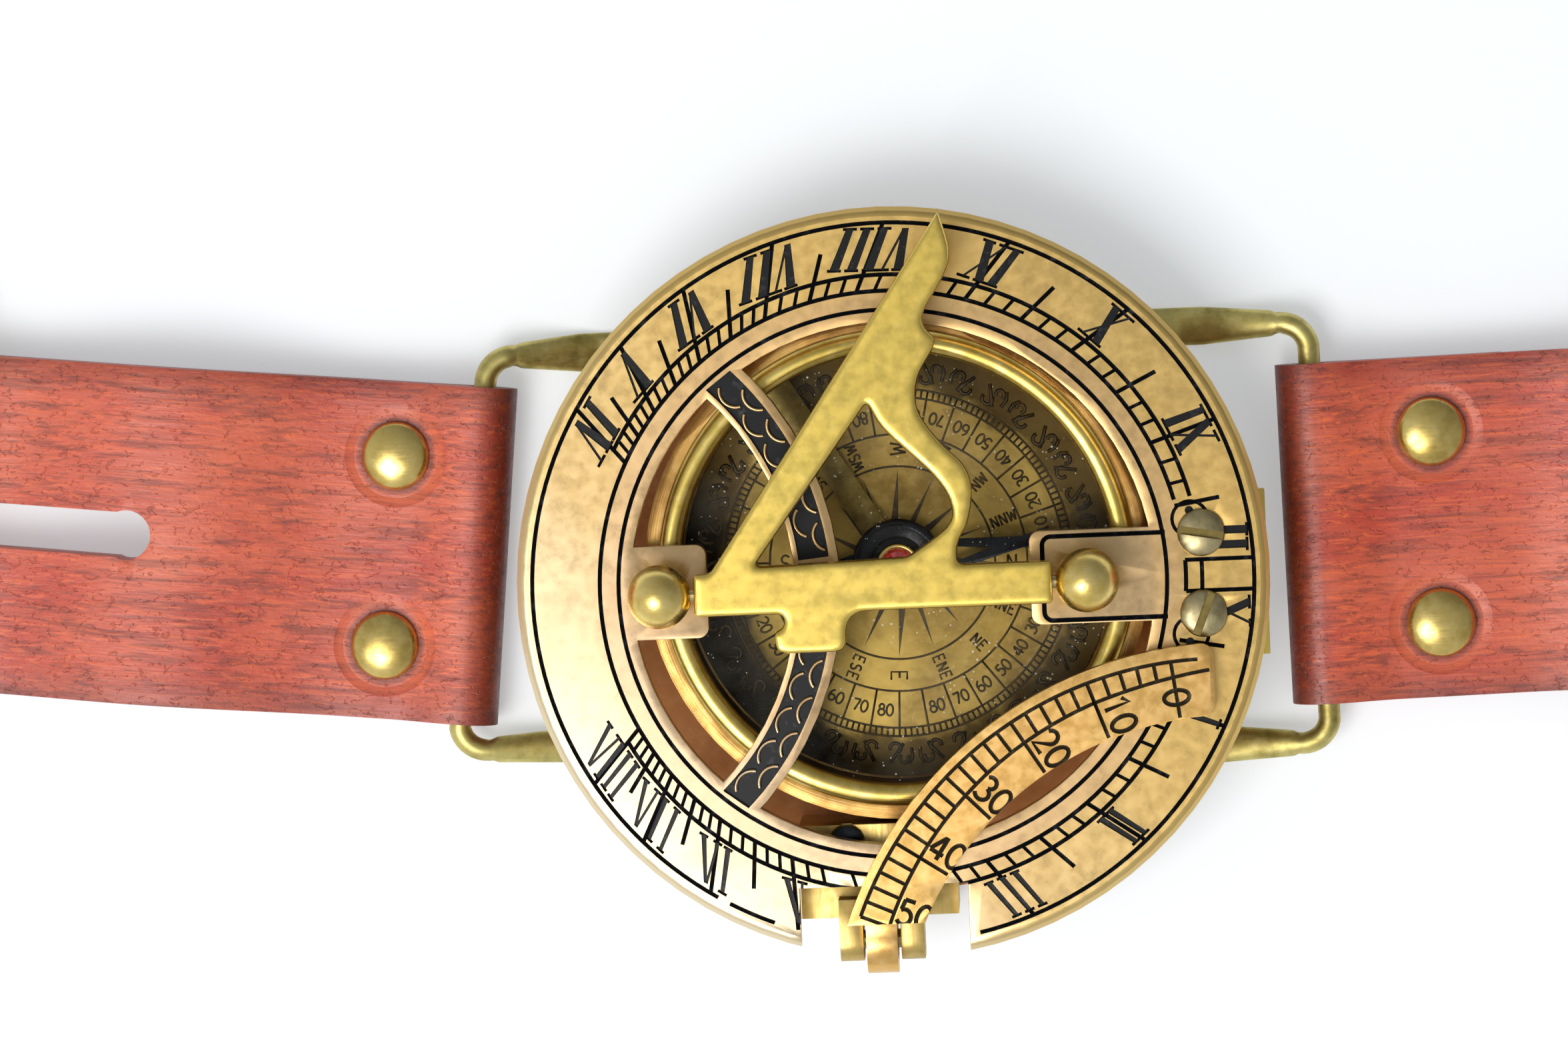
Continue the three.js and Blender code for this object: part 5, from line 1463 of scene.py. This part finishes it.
def leatherFinish(piece, seed):
    # a slight waviness of the hide
    draw = random.Random(seed)
    phases = [draw.uniform(0, math.tau) for count in range(4)]
    for vertex in piece.data.vertices:
        x, y = vertex.co.x / mm, vertex.co.y / mm
        wave = math.sin(x * 0.21 + phases[0]) * math.sin(y * 0.17 + phases[1])
        wave += 0.5 * math.sin(x * 0.47 + phases[2]) * math.sin(y * 0.39 + phases[3])
        vertex.co.z += strap["waviness"] * wave * mm
    return piece


def foldRise(x):
    # the leather comes down smoothly from the top of its fold to the doubled band
    way = min(1.0, max(0.0, x / strap["foldReach"]))
    return (strap["eye"] - strap["leather"]) * (1 - eased(way))


def westOutline():
    count = 60
    end = westStrap["length"]
    xs = [end * step / count for step in range(count + 1)]
    top = [(x, westArch(x) + strap["leather"] + foldRise(x) + foldRise(end - x)) for x in xs]
    low = [(x, westArch(x) - strap["leather"] - foldRise(x) - foldRise(end - x)) for x in xs]
    return list(reversed(top)) + eyeArc(0, 100, 260, 14) + low + eyeArc(end, 280, 440, 14)


def eastHeight(x):
    # the middle layer's height: level under the rivets, up to a crest, and down to the floor
    floor = -eastStrap["place"][2]
    if x <= eastStrap["flap"]:
        return 0
    if x <= eastStrap["crest"]:
        way = (x - eastStrap["flap"]) / (eastStrap["crest"] - eastStrap["flap"])
        return eastStrap["rise"] / 2 * (1 - math.cos(math.pi * way))
    if x <= eastStrap["land"]:
        way = (x - eastStrap["crest"]) / (eastStrap["land"] - eastStrap["crest"])
        return floor + (eastStrap["rise"] - floor) / 2 * (1 + math.cos(math.pi * way))
    return floor


def eastOutline():
    count = 90
    xs = [eastStrap["length"] * step / count for step in range(count + 1)]
    top = [(x, eastHeight(x) + strap["leather"] + foldRise(x)) for x in xs]
    low = [(x, eastHeight(x)) for x in xs if x > eastStrap["flap"]]
    flap = [(x, -strap["leather"] - foldRise(x)) for x in (0, 1.5, 3, 4.5, 6, 9, 12, 15, eastStrap["flap"])]
    return list(reversed(top)) + eyeArc(0, 100, 260, 14) + flap + [(eastStrap["flap"], 0.0)] + low


westLeather = leatherMaterial("westStrapLeather", westStrap)
eastLeather = leatherMaterial("eastStrapLeather", eastStrap)

west = strapSolid("strap_west_leather", westOutline())
slotStart = westStrap["length"] - westStrap["slotLength"]
slotFar, slotHalf = westStrap["length"] + 8, westStrap["slotWidth"] / 2
slotPlan = arcPoints((slotStart, 0), westStrap["slotEnd"], 65, 295, 18)
slotPlan += [(slotFar, -slotHalf), (slotFar, slotHalf)]
cutAway(west, [plate("slot", slotPlan, -9, 12), barHole(0, 20), barHole(westStrap["length"], 20)])
bevelled(west, strap["edge"], 3, 40)
leatherFinish(west, westStrap["waves"])
placed(west, westStrap["place"], westStrap["turn"])
painted(west, westLeather)
finished(west, "strap_west", "strap_leather", "strap_west")

east = strapSolid("strap_east_leather", eastOutline())
length, tip, half = eastStrap["length"], eastStrap["tip"], strap["half"]


def tipPoint(share, side):
    # the rounded tip is a quadratic curve from the side to the middle
    a, b, c = (length - tip, side * half), (length, side * half), (length, 0)
    return tuple((1 - share) ** 2 * a[i] + 2 * (1 - share) * share * b[i] + share ** 2 * c[i] for i in (0, 1))


corners = []
for side in (1, -1):
    curve = [tipPoint(step / 14, side) for step in range(15)]
    outline = curve + [(length + 3, 0), (length + 3, side * (half + 3)), (length - tip, side * (half + 3))]
    corners.append(plate("tip", outline, -12, 12))
cutAway(east, corners + [eyelet(x) for x in eastStrap["holes"]] + [barHole(0, 20)])
bevelled(east, strap["edge"], 3, 40)
leatherFinish(east, eastStrap["waves"])
placed(east, eastStrap["place"], eastStrap["turn"])
painted(east, eastLeather)
finished(east, "strap_east", "strap_leather", "strap_east")
print("straps done")


# Rivets

metals["rivet"] = metalMaterial("rivetMetal", {
    "colour": colour(216, 190, 112), "tarnish": colour(170, 144, 74), "sheen": colour(240, 222, 156),
    "rough": 0.24, "cloudScale": 320, "lineShade": 0.1, "lineDepth": 0.02,
})


def rivets(side, strapPart, body):
    # a domed cap above and a flat back below, at both edges of a strap
    top, shank, wide = strap["leather"], rivet["shank"], rivet["back"]
    edge, low = top + rivet["capEdge"], -top - rivet["backHeight"]
    capProfile = [(0, rivet["shankFrom"]), (shank, rivet["shankFrom"]), (shank, top), (rivet["cap"], top),
                  (rivet["cap"], edge)]
    for step in range(1, rivet["steps"] + 1):
        turn = math.pi / 2 * step / rivet["steps"]
        radius = rivet["cap"] * math.cos(turn) if step < rivet["steps"] else 0
        capProfile.append((radius, edge + (rivet["capHeight"] - rivet["capEdge"]) * math.sin(turn)))
    backProfile = [(0, low), (wide - 0.3, low), (wide, low + rivet["backEdge"]), (wide, -top), (shank, -top),
                   (shank, 0), (0, 0)]
    spin = math.radians(strapPart["turn"])
    startX, startY, startZ = strapPart["place"]
    x = strapPart["rivetX"]
    for end, y in (("north", rivet["fromMiddle"]), ("south", -rivet["fromMiddle"])):
        place = (startX + x * math.cos(spin) - y * math.sin(spin),
                 startY + x * math.sin(spin) + y * math.cos(spin), startZ)
        cap = turned(f"rivet_cap_{side}_{end}_domed", capProfile, place, 64, 45)
        painted(cap, metals["rivet"])
        finished(cap, body, "arc_brass", f"rivet_cap_{side}_{end}")
        back = turned(f"rivet_back_{side}_{end}_turned", backProfile, place, 48, 45)
        painted(back, metals["rivet"])
        finished(back, body, "arc_brass", f"rivet_back_{side}_{end}")


rivets("west", westStrap, "strap_west")
rivets("east", eastStrap, "strap_east")

buckleEdges = {"buckle_frame": 0.4, "buckle_prong": 0.15, "buckle_bar": 0.15}
for node, edge in buckleEdges.items():
    body = "strap_west" if node == "buckle_bar" else node
    piece = copyOf(node, node + "_finished")
    bevelled(piece, edge, 3)
    painted(piece, metals["rivet"])
    finished(piece, body, "polished_brass", node)
print("rivets and buckle done")


# Floor, lights and camera

# the floor's emission shows in the picture and in reflections, and lights nothing
floorLook = {"size": 4, "lit": (0.7, 0.72, 0.74, 1), "glow": (0.32, 0.335, 0.345, 1), "rough": 0.7}
black = (0, 0, 0, 1)
only()
bpy.ops.mesh.primitive_plane_add(size=floorLook["size"], location=(0, 0, 0))
floor = bpy.context.active_object
floor.name = "floor"
floorPaint, tree, shader, place = startMaterial("paleFloor")
shader.inputs["Base Color"].default_value = floorLook["lit"]
shader.inputs["Roughness"].default_value = floorLook["rough"]
shader.inputs["Emission Strength"].default_value = 1.0
rays = Shade(tree).node("ShaderNodeLightPath").socket.node.outputs
seen = Shade(tree, rays["Is Camera Ray"]) + Shade(tree, rays["Is Glossy Ray"])
seen = seen + Shade(tree, rays["Is Transmission Ray"])
link(tree, mixed(tree, seen, black, floorLook["glow"]), shader, "Emission Color")
painted(floor, floorPaint)

# brighter towards the west and south, as a window there would make it
skyLook = {"colour": (0.96, 0.98, 1.0, 1), "strength": 0.55, "eastward": -0.22, "northward": -0.25}
world = bpy.data.worlds.new("studio")
scene.world = world
world.use_nodes = True
sky = world.node_tree.nodes["Background"]
sky.inputs["Color"].default_value = skyLook["colour"]
heading = Shade(world.node_tree).node("ShaderNodeTexCoord", output=0)
eastward = heading.node("ShaderNodeSeparateXYZ", {"Vector": heading})
northward = Shade(world.node_tree, eastward.socket.node.outputs[1])
gradient = eastward * skyLook["eastward"] + northward * skyLook["northward"]
link(world.node_tree, gradient + skyLook["strength"], sky, "Strength")

lamps = {"window": {"place": (-0.22, -0.225, 0.6), "size": 0.34, "power": 2.7, "colour": (1.0, 0.98, 0.96)}}
for name, lamp in lamps.items():
    light = bpy.data.lights.new(name, "AREA")
    light.size = lamp["size"]
    light.energy = lamp["power"]
    light.color = lamp["colour"]
    holder = bpy.data.objects.new(name, light)
    scene.collection.objects.link(holder)
    holder.location = lamp["place"]
    aim = Vector((0, 0, 0.01)) - Vector(lamp["place"])
    holder.rotation_euler = aim.to_track_quat("-Z", "Y").to_euler()

# the camera looks almost straight down, leaning by the two tilts in degrees
shot = {
    "target": (-10.2, 4.8, 14.1), "right": (0.99919, -0.04013), "distance": 0.5, "width": 145.5,
    "tiltRight": 2.5, "tiltUp": 3.0, "sensor": 36,
}
camera = bpy.data.objects.new("camera", bpy.data.cameras.new("camera"))
scene.collection.objects.link(camera)
scene.camera = camera
right = Vector((shot["right"][0], shot["right"][1], 0))
up = Vector((-shot["right"][1], shot["right"][0], 0))
back = (Vector((0, 0, 1)) + right * math.tan(math.radians(shot["tiltRight"])) +
        up * math.tan(math.radians(shot["tiltUp"]))).normalized()
across = (right - back * right.dot(back)).normalized()
upward = back.cross(across)
turnMatrix = Matrix((across, upward, back)).transposed()
stand = Matrix.Translation(Vector(shot["target"]) * mm + back * shot["distance"])
camera.matrix_world = stand @ turnMatrix.to_4x4()
camera.data.sensor_width = shot["sensor"]
camera.data.lens = shot["sensor"] * shot["distance"] / (shot["width"] * mm)
camera.data.clip_start = 0.01
camera.data.clip_end = 10

print("scene ready")
